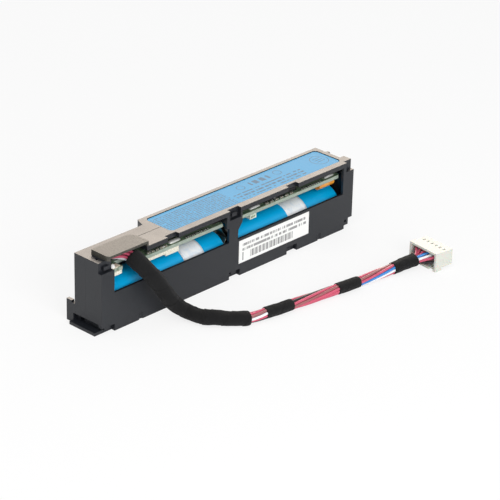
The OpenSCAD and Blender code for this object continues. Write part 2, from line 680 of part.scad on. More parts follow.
// A tube through the points p, square to the headings h, with a radius at each point
module tube(p, h, r, n) {
    m = len(p);
    polyhedron(points = [for (i = [0 : m - 1]) each ring(p[i], h[i], r[i], n)],
        faces = concat([[for (k = [0 : n - 1]) k]],
            [for (i = [0 : m - 2], k = [0 : n - 1]) let (a = i * n + k, b = i * n + (k + 1) % n)
                each [[a, a + n, b + n], [a, b + n, b]]],
            [[for (k = [n - 1 : -1 : 0]) (m - 1) * n + k]]));
}
module stretch(from, to, d1, d2, n = 10) tube([for (i = [from : to]) route[i]],
    [for (i = [from : to]) heading(route, i)],
    [for (i = [from : to]) (d1 + (d2 - d1) * (i - from) / (to - from)) / 2], n);

bundle_d = 4 * wire_d + 0.6;
module cable_sleeve() color("#2b2b2c") stretch(0, sleeve_end, sleeve_d1, sleeve_d2);
module wire_run_1() color("#d8607a") stretch(sleeve_end, run_1_end, bundle_d, bundle_d);
module wrap_1() color("#2b2b2c") stretch(run_1_end, wrap_1_end, wrap_d, wrap_d);
module wire_run_2() color("#d8607a") stretch(wrap_1_end, run_2_end, bundle_d, bundle_d);
module wrap_2() color("#2b2b2c") stretch(run_2_end, wrap_2_end, wrap_d, wrap_d);
module wire_run_3() color("#d8607a") stretch(wrap_2_end, run_3_end, bundle_d, bundle_d);
module wrap_3() color("#2b2b2c") stretch(run_3_end, route_end, wrap_d, wrap_d);

// Wire places in a bundle, p apart: three in the middle and nine round them
function in_bundle(i, p) = i < 3
    ? p / sqrt(3) * [cos(120 * i + 90), sin(120 * i + 90)]
    : p * (1 + 1 / sqrt(3)) * [cos(40 * (i - 3)), sin(40 * (i - 3))];
function wire_start(at, h, i, p) = let (s = unit([h[1], -h[0], 0]), u = cross(s, h),
    q = in_bundle(i, p)) at + q[0] * s + q[1] * u;

// ---------------------------------------------------------------- plug

plug_w = (ways - 1) * pitch + 2 * plug_wall + cavity_w;
rows = 2;
face_t = 1.2;           // thickness of the plug's mating face
plug_body_h = (rows - 1) * pitch + cavity_w + 2 * 1.5;
plug_at = [68.9, -58.6, 0];      // middle of the collar's edge, where the wires go in
row_z = [for (i = [0 : rows - 1]) collar_step + plug_body_h / 2 + (i - (rows - 1) / 2) * pitch];
function way_y(k) = ((ways - 1) / 2 - k) * pitch;
// The plug is drawn along x from its collar's edge, then turned and laid in its place
module at_plug() translate(plug_at) rotate([0, 0, -plug_turn]) children();
function in_place(p) = plug_at + [p[0] * cos(plug_turn) + p[1] * sin(plug_turn),
    p[1] * cos(plug_turn) - p[0] * sin(plug_turn), p[2]];

module plug_housing() color("#f1f1ec") at_plug() difference() {
    union() {
        box([collar_l - 0.2, -plug_w / 2, collar_step],
            [plug_l, plug_w / 2, collar_step + plug_body_h]);
        box([0, -plug_w / 2 - 0.2, 0],
            [collar_l + 1.2, plug_w / 2 + 0.2, collar_step + plug_body_h + 0.3]);
        // keying ribs on the far side of the body
        for (y = [-plug_w / 3, plug_w / 3]) box([collar_l, y - 0.5, collar_step - 0.5],
            [plug_l - 0.6, y + 0.5, collar_step + 0.2]);
    }
    // the collar's inside
    box([-over, -plug_w / 2 + 0.9, 0.9],
        [collar_l, plug_w / 2 - 0.9, collar_step + plug_body_h - 0.7]);
    // a gap in the collar's lower lip, near its front end
    box([-over, -plug_w / 2 + 1.6, -over],
        [1.4, -plug_w / 2 + 4, 0.95]);
    // terminal cavities, narrower at the mating face, and their latch windows on top
    for (k = [0 : ways - 1], z = row_z) {
        box([collar_l - over, way_y(k) - cavity_w / 2, z - cavity_w / 2],
            [plug_l - face_t, way_y(k) + cavity_w / 2, z + cavity_w / 2]);
        box([plug_l - face_t - 0.1, way_y(k) - 0.5, z - 0.5],
            [plug_l + over, way_y(k) + 0.5, z + 0.5]);
    }
    for (k = [0 : ways - 1]) box([plug_l - 4.2, way_y(k) - 0.45, collar_step + plug_body_h - 0.5],
        [plug_l - 2.6, way_y(k) + 0.45, collar_step + plug_body_h + over]);
}

// Crimped terminals: a box contact, a neck and a crimp barrel, one in each cavity
contact = cavity_w - 0.2;
contact_l = plug_l - collar_l - face_t - 3.2;
module terminal() {
    difference() {
        translate([3, -contact / 2, -contact / 2]) cube([contact_l, contact, contact]);
        translate([3.4, -contact / 2 + 0.25, -contact / 2 + 0.25])
            cube([contact_l, contact - 0.5, contact - 0.5]);
    }
    translate([1.6, -0.3, -contact / 2]) cube([1.5, 0.6, 0.5]);
    translate([0.4, -0.55, -contact / 2]) cube([1.4, 1.1, 1.1]);
}
module plug_terminals() color("#c9b98a") at_plug()
    for (k = [0 : ways - 1], z = row_z) translate([collar_l, way_y(k), z]) terminal();

// Which colour each wire is, upper row then lower row, from the rear of the plug to its front
wire_colours = ["red", "red", "red", "blue", "white", "red",
    "red", "black", "red", "red", "red", "black"];
// The same wires in the order in which they are soldered on the board
tail_colours = ["red", "white", "blue", "red", "red", "red",
    "red", "black", "red", "red", "black", "red"];
// Where each of them leaves the last wrap and enters the sleeve, so that none cross on the way
fan_slots = [6, 1, 0, 5, 4, 3, 7, 8, 9, 2, 10, 11];
tail_slots = [3, 11, 10, 1, 9, 8, 4, 2, 5, 0, 6, 7];
fan_pitch = wrap_d / 4;
mouth_pitch = sleeve_d1 / 4.2;

fan_from = route[route_end];
fan_head = heading(route, route_end);
module fan_wire(i) {
    k = i % ways;
    a = wire_start(fan_from, fan_head, fan_slots[i % 12], fan_pitch);
    b = in_place([collar_l + 0.2, way_y(k), row_z[i < ways ? 1 : 0]]);
    tube([a, b], [fan_head, [cos(plug_turn), -sin(plug_turn), 0]], [wire_d, wire_d] / 2, 8);
}
module fan_wires(c) for (i = [0 : 2 * ways - 1]) if (wire_colours[i % 12] == c) fan_wire(i);
module fan_wires_red() color("#d8607a") fan_wires("red");
module fan_wires_black() color("#2a2a2c") fan_wires("black");
module fan_wire_blue() color("#3c86cc") fan_wires("blue");
module fan_wire_white() color("#f0f0f0") fan_wires("white");

// Wires inside the housing, from two rows of pads on the board to the mouth of the sleeve
tail_pitch = 1.7;
pad_x = board_x + 4.6;
pad_y = [board_rear_narrow - 2.8, board_rear_narrow - 1.4];
tail_z = [wire_d / 2 + 0.75, wire_d / 2 + 1.75];
housing_at = [-(body_l - tongue_l) / 2, -body_w / 2, 0];
tail_head = heading(route, 0);
module tail_wire(i) {
    k = i % 6;
    row = i < 6 ? 0 : 1;
    a = housing_at + [pad_x + k * tail_pitch, pad_y[row], board_top + tail_z[row]];
    b = wire_start(route[0], tail_head, tail_slots[i], mouth_pitch);
    tube([a, b], [[0.001, -1, 0], tail_head], [wire_d, wire_d] / 2, 8);
}
// The stepped silicone block on the board that buries the wires' soldered ends
module lead_anchor() color("#e9e6dc") placed() for (row = [0, 1])
    box([pad_x - 1.2, pad_y[row], board_top],
        [pad_x + 5 * tail_pitch + 1.2, board_rear_narrow + 0.4,
            board_top + tail_z[row] + wire_d * (row - 0.1) / 2]);

module tail_wires(c) for (i = [0 : 11]) if (tail_colours[i] == c) tail_wire(i);
module tail_wires_red() color("#d8607a") tail_wires("red");
module tail_wires_black() color("#2a2a2c") tail_wires("black");
module tail_wire_blue() color("#3c86cc") tail_wires("blue");
module tail_wire_white() color("#f0f0f0") tail_wires("white");

front_shell();
rear_shell();
cable_cover();
top_label();
side_label();
cell_left();
cell_right();
cell_sleeve_left();
cell_sleeve_right();
end_ring_left();
end_ring_right();
tape_left();
tape_right();
strap_left_end();
strap_mid_left();
strap_mid_right();
strap_right_end();
circuit_board();
foam_strip();
gauge_chip();
power_chips();
choke();
shunt_resistor();
capacitors();
resistors();
board_socket();
thermal_fuse();
solder_joints();
glue_bead();
lead_anchor();
tail_wires_red();
tail_wires_black();
tail_wire_blue();
tail_wire_white();
cable_sleeve();
wire_run_1();
wire_run_2();
wire_run_3();
wrap_1();
wrap_2();
wrap_3();
fan_wires_red();
fan_wires_black();
fan_wire_blue();
fan_wire_white();
plug_housing();
plug_terminals();
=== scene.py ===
# Dresses the raid battery module: moulded housing, two cells, protection board and taped lead.
import math

import bmesh
import bpy
from mathutils import Matrix, Vector, noise


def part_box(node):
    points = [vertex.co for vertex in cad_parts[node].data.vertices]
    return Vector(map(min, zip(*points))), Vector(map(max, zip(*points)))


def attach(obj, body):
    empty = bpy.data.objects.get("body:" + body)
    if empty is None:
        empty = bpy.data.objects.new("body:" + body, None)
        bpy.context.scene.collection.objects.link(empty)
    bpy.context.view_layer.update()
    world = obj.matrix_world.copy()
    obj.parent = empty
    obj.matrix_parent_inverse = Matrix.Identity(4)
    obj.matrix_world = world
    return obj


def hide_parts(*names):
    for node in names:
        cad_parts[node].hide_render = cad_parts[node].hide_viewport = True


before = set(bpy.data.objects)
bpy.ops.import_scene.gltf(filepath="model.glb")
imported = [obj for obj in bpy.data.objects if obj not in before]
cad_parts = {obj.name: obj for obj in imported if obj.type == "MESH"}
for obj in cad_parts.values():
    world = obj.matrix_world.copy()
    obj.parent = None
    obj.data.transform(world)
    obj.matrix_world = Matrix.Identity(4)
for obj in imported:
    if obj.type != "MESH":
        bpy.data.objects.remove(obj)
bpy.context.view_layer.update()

bl_info = {
    "name": "Raid battery module",
    "version": (1, 0, 0),
    "blender": (4, 5, 0),
    "location": "View3D > Sidebar > Battery",
    "description": "Builds the housing, cells, board and lead of a backup battery module",
    "category": "Object",
}

MM = 0.001
BODY = "root"

# Housing corner: left end face, front face and underside, in the part's frame
SHELL_LOW, SHELL_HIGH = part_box("front_shell")
LENGTH = 0.152
CORNER = Vector((SHELL_HIGH[0] - LENGTH, SHELL_LOW[1], 0.0))
TOP = SHELL_HIGH[2]
BOARD_LOW, BOARD_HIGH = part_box("circuit_board")

# The lead's route from the housing to the plug, in metres
ROUTE = [Vector(p) * MM for p in (
    (-55.5, -8, 28.5), (-55, -12, 26.5), (-52.5, -15.5, 22.5), (-50.5, -17, 19),
    (-48.5, -18, 15.5), (-47, -19.5, 12), (-44.5, -20.5, 8.5), (-42.5, -22.5, 6),
    (-40, -24.5, 4.2), (-39.5, -28, 3.8), (-38, -31.5, 3.7), (-35.5, -34.5, 3.5),
    (-33, -37, 3.3), (-30.5, -39.5, 3.1), (-27.5, -42, 3), (-24.5, -44, 2.9),
    (-20.3, -45, 2.7), (-16, -45.7, 2.7), (-2.4, -47.9, 2.7),
    (9.5, -49.8, 2.7), (21, -51.4, 2.7), (33.8, -53.2, 2.7),
    (43.8, -54.2, 2.7), (53.2, -55, 2.8), (59.6, -55.8, 3.1), (66, -57, 3.6))]
SLEEVE_END, RUN_1_END, WRAP_1_END, RUN_2_END, WRAP_2_END, RUN_3_END = 15, 17, 18, 20, 21, 23

# Plug: middle of its collar's edge, its turn on the floor, and its two rows of six ways
PLUG_AT = Vector((68.9, -58.6, 0)) * MM
PLUG_TURN = math.radians(7)
WAYS = 6
PITCH = 2.5 * MM
ROW_Z = (3.55 * MM, 6.05 * MM)
COLLAR = 2.4 * MM
WIRE_COLOURS = ["red", "red", "red", "blue", "white", "red",
                "rose", "black", "red", "red", "rose", "black"]
TAIL_COLOURS = ["red", "white", "blue", "red", "red", "red",
                "red", "black", "red", "red", "black", "red"]
FAN_SLOTS = [6, 1, 0, 5, 4, 3, 7, 8, 9, 2, 10, 11]
# Place of each wire in the three bare runs; they change places under the wraps
RUN_SLOTS = ([5, 1, 8, 6, 11, 4, 3, 2, 7, 10, 0, 9],
             [7, 1, 8, 5, 4, 3, 9, 2, 6, 10, 0, 11],
             [6, 1, 8, 5, 4, 3, 7, 2, 9, 10, 0, 11],
             FAN_SLOTS)
RUN_TURNS = (0, 0, 20, 0)
TAIL_SLOTS = [3, 11, 10, 1, 9, 8, 4, 2, 5, 0, 6, 7]

# Middle distance of neighbouring wires in a bare run, in wire diameters
BUNDLE_PITCH = 0.94
# The wires on the board: six to a row, the spacing along and across, and their height over it
TAIL_WAYS, TAIL_PITCH, TAIL_ROW_Y, TAIL_ROW_Z = 6, 1.7 * MM, 1.4 * MM, 1.0 * MM
TAIL_FIRST = Vector((1.2, 0.2, 1.25)) * MM


def linear(code):
    """An sRGB hex colour as linear red, green and blue."""
    parts = [int(code[i:i + 2], 16) / 255 for i in (1, 3, 5)]
    return tuple(p / 12.92 if p <= 0.04045 else ((p + 0.055) / 1.055) ** 2.4 for p in parts)


def rgba(code):
    return (*linear(code), 1.0)


# ------------------------------------------------------------------ settings

def colour_setting(name, code, words):
    return bpy.props.FloatVectorProperty(
        name=name, description=words, subtype="COLOR", size=3, min=0, max=1,
        default=linear(code))


def length_setting(name, value, low, high, words):
    """A length property whose values are given in millimetres."""
    return bpy.props.FloatProperty(name=name, description=words, default=value * MM,
                                   min=low * MM, max=high * MM, unit="LENGTH")


class BatteryLeadSettings(bpy.types.PropertyGroup):
    wire_diameter: length_setting("Wire diameter", 1.16, 0.8, 1.4,
                                  "Across one insulated wire")
    lay_length: length_setting("Lay length", 110, 40, 500,
                               "Length in which the bundle turns once")
    sleeve_start: length_setting("Sleeve at the housing", 7.6, 5, 9,
                                 "Diameter of the cloth sleeve at the housing")
    sleeve_end: length_setting("Sleeve at its end", 5.8, 5, 8,
                               "Diameter of the cloth sleeve at its far end")
    wrap_diameter: length_setting("Wrap diameter", 5.2, 5, 6, "Across a wrap of cloth tape")
    red: colour_setting("Red wire", "#cc5570", "Insulation of the red wires")
    rose: colour_setting("Rose-brown wire", "#9c5f62", "Insulation of the duller red wires")
    blue: colour_setting("Blue wire", "#3a86cf", "Insulation of the blue wire")
    white: colour_setting("White wire", "#eeeef0", "Insulation of the white wire")
    black: colour_setting("Black wire", "#232226", "Insulation of the black wires")
    cloth: colour_setting("Cloth tape", "#0c0c0d", "Woven tape of sleeve and wraps")
    plug: colour_setting("Plug", "#cdcfc8", "Natural nylon of the plug")


class BatteryHousingSettings(bpy.types.PropertyGroup):
    edge_radius: length_setting("Edge radius", 0.16, 0.05, 0.4,
                                "Radius on the moulded edges")
    plastic: colour_setting("Housing plastic", "#13161c", "Black moulded plastic")
    cover: colour_setting("Cover plastic", "#38362f", "Textured plastic of the wire cover")
    top_label: colour_setting("Top label", "#0a98cc", "Sky-blue label on the top")
    side_label: colour_setting("Side label", "#eeeeec", "White label on the front")


class BatteryInsideSettings(bpy.types.PropertyGroup):
    cell: colour_setting("Cell sleeve", "#00aeea", "Shrunk film round the cells")
    tape: colour_setting("Tape", "#f1f4f6", "Pale tape round the cells")
    board: colour_setting("Board", "#4d6350", "Lacquer of the circuit board")
    film: colour_setting("Amber film", "#e8932c", "Film round the thermal fuse")


# ------------------------------------------------------------------ helpers

def put(tree, kind, inputs=None, **settings):
    """Adds a node with its settings, and sets or links its inputs by name or number."""
    made = tree.nodes.new(kind)
    for key, value in settings.items():
        setattr(made, key, value)
    for key, value in (inputs or {}).items():
        if isinstance(value, bpy.types.NodeSocket):
            tree.links.new(value, made.inputs[key])
        else:
            made.inputs[key].default_value = value
    return made


def start_material(name, **shader_values):
    """A new material with its shader and object coordinates: (material, tree, shader, coords)."""
    mat = bpy.data.materials.new(name)
    mat.use_nodes = True
    tree = mat.node_tree
    tree.nodes.clear()
    shader = put(tree, "ShaderNodeBsdfPrincipled",
                 {key.replace("_", " "): value for key, value in shader_values.items()})
    put(tree, "ShaderNodeOutputMaterial", {"Surface": shader.outputs[0]})
    coords = put(tree, "ShaderNodeTexCoord").outputs["Object"]
    return mat, tree, shader, coords


def bump(tree, shader, height, strength, depth):
    made = put(tree, "ShaderNodeBump", {"Height": height, "Strength": strength, "Distance": depth})
    tree.links.new(made.outputs[0], shader.inputs["Normal"])


def mix(tree, factor, a, b):
    """A colour between a and b, each a colour or a socket."""
    return put(tree, "ShaderNodeMix", {0: factor, 6: a, 7: b}, data_type="RGBA").outputs[2]


def ramp(tree, factor, *stops):
    made = put(tree, "ShaderNodeValToRGB", {0: factor})
    cr = made.color_ramp
    while len(cr.elements) < len(stops):
        cr.elements.new(0.5)
    for element, (place, shade) in zip(cr.elements, stops):
        element.position = place
        element.color = rgba(shade) if isinstance(shade, str) else (shade, shade, shade, 1)
    return made.outputs[0]


def new_piece(name, mesh, slot, *nodes, material=None, smooth=False):
    """Puts a finished mesh in the scene as a piece of the part."""
    obj = bpy.data.objects.new(name, mesh)
    bpy.context.scene.collection.objects.link(obj)
    if material is not None:
        mesh.materials.clear()
        mesh.materials.append(material)
    if smooth:
        for face in mesh.polygons:
            face.use_smooth = True
    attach(obj, BODY)
    if nodes:
        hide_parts(*nodes)
    return obj


def mesh_from(bm, name):
    mesh = bpy.data.meshes.new(name)
    bm.to_mesh(mesh)
    bm.free()
    return mesh


def add_box(bm, low, high):
    """Adds a box between two corners to a mesh."""
    for v in bmesh.ops.create_cube(bm, size=1.0)["verts"]:
        v.co = Vector([a + (c + 0.5) * (b - a) for a, b, c in zip(low, high, v.co)])


def dress(name, node, slot, material, edge, segments=2, angle=30):
    """A merged copy of a CAD node whose edges get a small radius."""
    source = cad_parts[node]
    bm = bmesh.new()
    bm.from_mesh(source.data)
    bmesh.ops.remove_doubles(bm, verts=bm.verts, dist=2e-6)
    bmesh.ops.dissolve_limit(bm, angle_limit=math.radians(0.6), verts=bm.verts, edges=bm.edges)
    obj = new_piece(name, mesh_from(bm, name), slot, node, material=material)
    if edge > 0:
        mod = obj.modifiers.new("Edge radius", "BEVEL")
        mod.width = edge
        mod.segments = segments
        mod.limit_method = "ANGLE"
        mod.angle_limit = math.radians(angle)
        mod.use_clamp_overlap = True
        mod.harden_normals = False
    return obj


def finish_node(node, material):
    """Gives a CAD node that keeps its shape its finish."""
    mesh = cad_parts[node].data
    mesh.materials.clear()
    mesh.materials.append(material)


def smooth_path(points, step):
    """Evenly spaced points on one smooth curve through the given points."""
    pts = [points[0] * 2 - points[1]] + list(points) + [points[-1] * 2 - points[-2]]
    fine = []
    for i in range(1, len(pts) - 2):
        a, b, c, d = pts[i - 1:i + 3]
        for k in range(24):
            t = k / 24
            fine.append(0.5 * ((2 * b) + (c - a) * t + (2 * a - 5 * b + 4 * c - d) * t * t
                               + (3 * b - a - 3 * c + d) * t ** 3))
    fine.append(points[-1].copy())
    return resample(fine, step)


def resample(fine, step):
    total = sum((b - a).length for a, b in zip(fine, fine[1:]))
    count = max(2, round(total / step))
    gap, walked, want, out = total / count, 0.0, 0.0, []
    for a, b in zip(fine, fine[1:]):
        span = (b - a).length
        while want <= walked + span + 1e-12 and span > 0 and len(out) < count:
            out.append(a.lerp(b, (want - walked) / span))
            want += gap
        walked += span
    out.append(fine[-1].copy())
    return out


def path_frames(path):
    """Heading, side and up at each point, carried along without a twist."""
    heads = [((path[min(i + 1, len(path) - 1)] - path[max(i - 1, 0)]).normalized())
             for i in range(len(path))]
    side = Vector((heads[0].y, -heads[0].x, 0)).normalized()
    out = []
    for head in heads:
        side = (side - head * side.dot(head)).normalized()
        out.append((head, side, side.cross(head)))
    return out


def lengths(path):
    out = [0.0]
    for a, b in zip(path, path[1:]):
        out.append(out[-1] + (b - a).length)
    return out


def sweep(bm, path, radius, sides, material_index=0, frames=None):
    """A closed tube along path; radius(i, angle) is in metres."""
    frames = frames or path_frames(path)
    uv = bm.loops.layers.uv.verify()
    run = lengths(path)
    rings = []
    for i, (p, (head, side, up)) in enumerate(zip(path, frames)):
        ring = []
        for k in range(sides):
            a = 2 * math.pi * k / sides
            r = radius(i, a)
            ring.append(bm.verts.new(p + side * (r * math.cos(a)) + up * (r * math.sin(a))))
        rings.append(ring)
    for i in range(len(rings) - 1):
        for k in range(sides):
            n = (k + 1) % sides
            face = bm.faces.new((rings[i][k], rings[i][n], rings[i + 1][n], rings[i + 1][k]))
            face.smooth = True
            face.material_index = material_index
            for loop, (u, v) in zip(face.loops, ((k, i), (k + 1, i), (k + 1, i + 1), (k, i + 1))):
                loop[uv].uv = (u / sides, run[v])
    for ring, flip in ((rings[0], True), (rings[-1], False)):
        face = bm.faces.new(list(reversed(ring)) if flip else ring)
        face.material_index = material_index
    return rings


def in_bundle(i, pitch):
    """Place of wire i in the bundle: three in the middle and nine round them."""
    if i < 3:
        r, a = pitch / math.sqrt(3), math.radians(120 * i + 90)
    else:
        r, a = pitch * (1 + 1 / math.sqrt(3)), math.radians(40 * (i - 3))
    return Vector((r * math.cos(a), r * math.sin(a)))


def turned(profile, sides=96):
    """A ring-shaped mesh about the x axis from (radius, distance) points, closed on itself."""
    bm = bmesh.new()
    rings = []
    for k in range(sides):
        a = 2 * math.pi * k / sides
        rings.append([bm.verts.new((x, r * math.cos(a), r * math.sin(a))) for r, x in profile])
    for k in range(sides):
        n = (k + 1) % sides
        for j in range(len(profile)):
            m = (j + 1) % len(profile)
            bm.faces.new((rings[k][j], rings[n][j], rings[n][m], rings[k][m]))
    bmesh.ops.recalc_face_normals(bm, faces=bm.faces)
    return bm


# ------------------------------------------------------------------ finishes

def moulded_abs(name, colour, rough=0.42, grain=0.35):
    # ABS moulded in a spark-eroded tool: black with a satin grain of about 0.15 mm, and a
    # slightly smoother look where hands and trays have rubbed it
    mat, tree, shader, coords = start_material(name, IOR=1.53, Specular_IOR_Level=0.5)
    fine = put(tree, "ShaderNodeTexNoise", {"Vector": coords, "Scale": 6500, "Detail": 2})
    broad = put(tree, "ShaderNodeTexNoise", {"Vector": coords, "Scale": 90, "Detail": 3})
    base = (*colour, 1.0)
    lift = (*[min(1, c * 1.35 + 0.004) for c in colour], 1.0)
    tree.links.new(mix(tree, broad.outputs[0], base, lift), shader.inputs["Base Color"])
    rub = put(tree, "ShaderNodeMapRange", {0: broad.outputs[0], 3: rough - 0.05, 4: rough + 0.07})
    tree.links.new(rub.outputs[0], shader.inputs["Roughness"])
    bump(tree, shader, fine.outputs[0], grain, 0.00006)
    return mat


def textured_abs(name, colour):
    # the cover's coarser leather-like grain of about 0.4 mm, which scatters light at any angle
    mat, tree, shader, coords = start_material(name, IOR=1.53, Roughness=0.52,
                                               Specular_IOR_Level=0.45)
    cells = put(tree, "ShaderNodeTexVoronoi", {"Vector": coords, "Scale": 2300})
    speck = put(tree, "ShaderNodeTexNoise", {"Vector": coords, "Scale": 1500, "Detail": 4})
    shade = ramp(tree, speck.outputs[0], (0.3, "#2a2926"), (0.55, "#47463f"), (0.8, "#6a685f"))
    tree.links.new(mix(tree, 0.5, (*colour, 1.0), shade), shader.inputs["Base Color"])
    bump(tree, shader, cells.outputs[0], 0.6, 0.00012)
    return mat


def shrink_film(name, colour):
    # PVC film shrunk on a cell: glossy, with long faint draw marks and slightly darker bands
    mat, tree, shader, coords = start_material(
        name, IOR=1.54, Roughness=0.3, Specular_IOR_Level=0.3, Coat_Weight=0.1,
        Coat_Roughness=0.15)
    pulled = put(tree, "ShaderNodeMapping", {0: coords, 3: (60, 900, 900)})
    marks = put(tree, "ShaderNodeTexNoise", {"Vector": pulled.outputs[0], "Scale": 1, "Detail": 3})
    base = (*colour, 1.0)
    dark = (*[c * 0.82 for c in colour], 1.0)
    tree.links.new(mix(tree, marks.outputs[0], base, dark), shader.inputs["Base Color"])
    bump(tree, shader, marks.outputs[0], 0.25, 0.0001)
    return mat


def adhesive_tape(name, colour):
    # pale polyester tape: smooth, with faint creases and the blue film showing through its folds
    mat, tree, shader, coords = start_material(name, IOR=1.5, Roughness=0.3, Coat_Weight=0.2)
    fold = put(tree, "ShaderNodeTexNoise",
               {"Vector": coords, "Scale": 260, "Detail": 4, "Distortion": 1.5})
    base = (*colour, 1.0)
    seen = mix(tree, 0.2, base, rgba("#7db4e0"))
    part = ramp(tree, fold.outputs[0], (0.45, 0.0), (0.62, 1.0))
    tree.links.new(mix(tree, part, base, seen), shader.inputs["Base Color"])
    bump(tree, shader, fold.outputs[0], 0.5, 0.00025)
    return mat


def cloth_tape(name, colour):
    # woven polyester tape: matt, threads about 0.35 mm apart both ways, fuzzy at the edges
    mat, tree, shader, _ = start_material(name, Roughness=0.88, Specular_IOR_Level=0.2,
                                          Sheen_Weight=0.06, Sheen_Roughness=0.5)
    uv = put(tree, "ShaderNodeUVMap").outputs[0]
    parts = put(tree, "ShaderNodeSeparateXYZ", {0: uv})
    round_way = put(tree, "ShaderNodeMath", {0: parts.outputs[0], 1: 48 * math.pi * 2},
                    operation="MULTIPLY")
    along = put(tree, "ShaderNodeMath", {0: parts.outputs[1], 1: 2 * math.pi / 0.00042},
                operation="MULTIPLY")
    warp = put(tree, "ShaderNodeMath", {0: round_way.outputs[0]}, operation="SINE")
    weft = put(tree, "ShaderNodeMath", {0: along.outputs[0]}, operation="SINE")
    cross = put(tree, "ShaderNodeMath", {0: warp.outputs[0], 1: weft.outputs[0]},
                operation="MULTIPLY")
    fuzz = put(tree, "ShaderNodeTexNoise", {"Vector": uv, "Scale": 900, "Detail": 4})
    whole = put(tree, "ShaderNodeMath", {0: cross.outputs[0], 1: fuzz.outputs[0]}, operation="ADD")
    base = (*colour, 1.0)
    lift = (*[min(1, c * 1.9 + 0.005) for c in colour], 1.0)
    tree.links.new(mix(tree, fuzz.outputs[0], base, lift), shader.inputs["Base Color"])
    bump(tree, shader, whole.outputs[0], 0.5, 0.00012)
    return mat


def wire_insulation(name, colour, rough=0.38):
    # extruded PVC insulation: smooth satin, faint drag marks along the wire
    mat, tree, shader, coords = start_material(name, IOR=1.53, Roughness=rough)
    tone = put(tree, "ShaderNodeTexNoise", {"Vector": coords, "Scale": 140, "Detail": 2})
    base = (*colour, 1.0)
    deep = (*[c * 0.86 for c in colour], 1.0)
    tree.links.new(mix(tree, tone.outputs[0], base, deep), shader.inputs["Base Color"])
    return mat


def natural_nylon(name, colour):
    # unfilled nylon: milky, a little light enters it, fine moulding grain
    mat, tree, shader, coords = start_material(
        name, IOR=1.53, Roughness=0.42, Subsurface_Weight=0.15, Subsurface_Scale=0.0006)
    grain = put(tree, "ShaderNodeTexNoise", {"Vector": coords, "Scale": 3000, "Detail": 2})
    shade = put(tree, "ShaderNodeTexNoise", {"Vector": coords, "Scale": 200, "Detail": 2})
    base = (*colour, 1.0)
    warm = (colour[0] * 0.97, colour[1] * 0.96, colour[2] * 0.92, 1.0)
    tree.links.new(mix(tree, shade.outputs[0], base, warm), shader.inputs["Base Color"])
    bump(tree, shader, grain.outputs[0], 0.15, 0.00005)
    return mat


def tinned_brass(name):
    # stamped brass with a thin tin plate: soft metal sheen, yellow at the cut edges
    mat, tree, shader, coords = start_material(name, Metallic=1.0, Roughness=0.32)
    tone = put(tree, "ShaderNodeTexNoise", {"Vector": coords, "Scale": 700, "Detail": 3})
    tree.links.new(ramp(tree, tone.outputs[0], (0.35, "#c2ad74"), (0.65, "#d8d2c2")),
                   shader.inputs["Base Color"])
    return mat


def rolled_nickel(name):
    # nickel strip: rolled along its length, with faint heat tint by the welds
    mat, tree, shader, coords = start_material(name, Metallic=1.0, Roughness=0.3)
    rolled = put(tree, "ShaderNodeMapping", {0: coords, 3: (900, 9000, 900)})
    lines = put(tree, "ShaderNodeTexNoise", {"Vector": rolled.outputs[0], "Scale": 1, "Detail": 2})
    tint = put(tree, "ShaderNodeTexNoise", {"Vector": coords, "Scale": 250, "Detail": 2})
    tree.links.new(ramp(tree, tint.outputs[0], (0.35, "#b3ab9c"), (0.6, "#cfcbc1")),
                   shader.inputs["Base Color"])
    bump(tree, shader, lines.outputs[0], 0.3, 0.00004)
    return mat


def drawn_steel(name):
    # nickel-plated drawn steel of the cells' cans
    mat, tree, shader, coords = start_material(name, Metallic=1.0, Roughness=0.28)
    tone = put(tree, "ShaderNodeTexNoise", {"Vector": coords, "Scale": 400, "Detail": 2})
    tree.links.new(ramp(tree, tone.outputs[0], (0.3, "#aeb0b2"), (0.7, "#d0d2d4")),
                   shader.inputs["Base Color"])
    return mat


def board_laminate(name, colour):
    # glass-fibre laminate: green lacquer over copper on the faces, pale fibre at the cut edge
    mat, tree, shader, coords = start_material(name, IOR=1.5, Roughness=0.35)
    normal = put(tree, "ShaderNodeNewGeometry").outputs["Normal"]
    up = put(tree, "ShaderNodeSeparateXYZ", {0: normal}).outputs[2]
    flat = put(tree, "ShaderNodeMath", {0: up}, operation="ABSOLUTE")
    tracks = put(tree, "ShaderNodeTexBrick", {"Vector": coords, "Color1": (*colour, 1.0),
                 "Color2": (*[c * 1.25 for c in colour], 1.0), "Mortar": rgba("#8c9a78"),
                 "Scale": 120, "Mortar Size": 0.02, "Brick Width": 0.7, "Row Height": 0.24})
    fibre = put(tree, "ShaderNodeMapping", {0: coords, 3: (400, 400, 5000)})
    layers = put(tree, "ShaderNodeTexNoise", {"Vector": fibre.outputs[0], "Scale": 1})
    edge = ramp(tree, layers.outputs[0], (0.35, "#87958a"), (0.65, "#a3aea0"))
    tree.links.new(mix(tree, flat.outputs[0], edge, tracks.outputs[0]), shader.inputs["Base Color"])
    return mat


def plain_finish(name, low, high, scale, rough, metallic=0.0, depth=0.00003, **values):
    """A surface that varies between two close shades, with a fine bump of its own scale."""
    mat, tree, shader, coords = start_material(name, Roughness=rough, Metallic=metallic, **values)
    tone = put(tree, "ShaderNodeTexNoise", {"Vector": coords, "Scale": scale, "Detail": 3})
    tree.links.new(ramp(tree, tone.outputs[0], (0.35, low), (0.65, high)),
                   shader.inputs["Base Color"])
    bump(tree, shader, tone.outputs[0], 0.3, depth)
    return mat


def in_span(tree, value, low, high):
    """1 where value lies between low and high."""
    above = put(tree, "ShaderNodeMath", {0: value, 1: low}, operation="GREATER_THAN")
    below = put(tree, "ShaderNodeMath", {0: value, 1: high}, operation="LESS_THAN")
    return put(tree, "ShaderNodeMath", {0: above.outputs[0], 1: below.outputs[0]},
               operation="MULTIPLY").outputs[0]


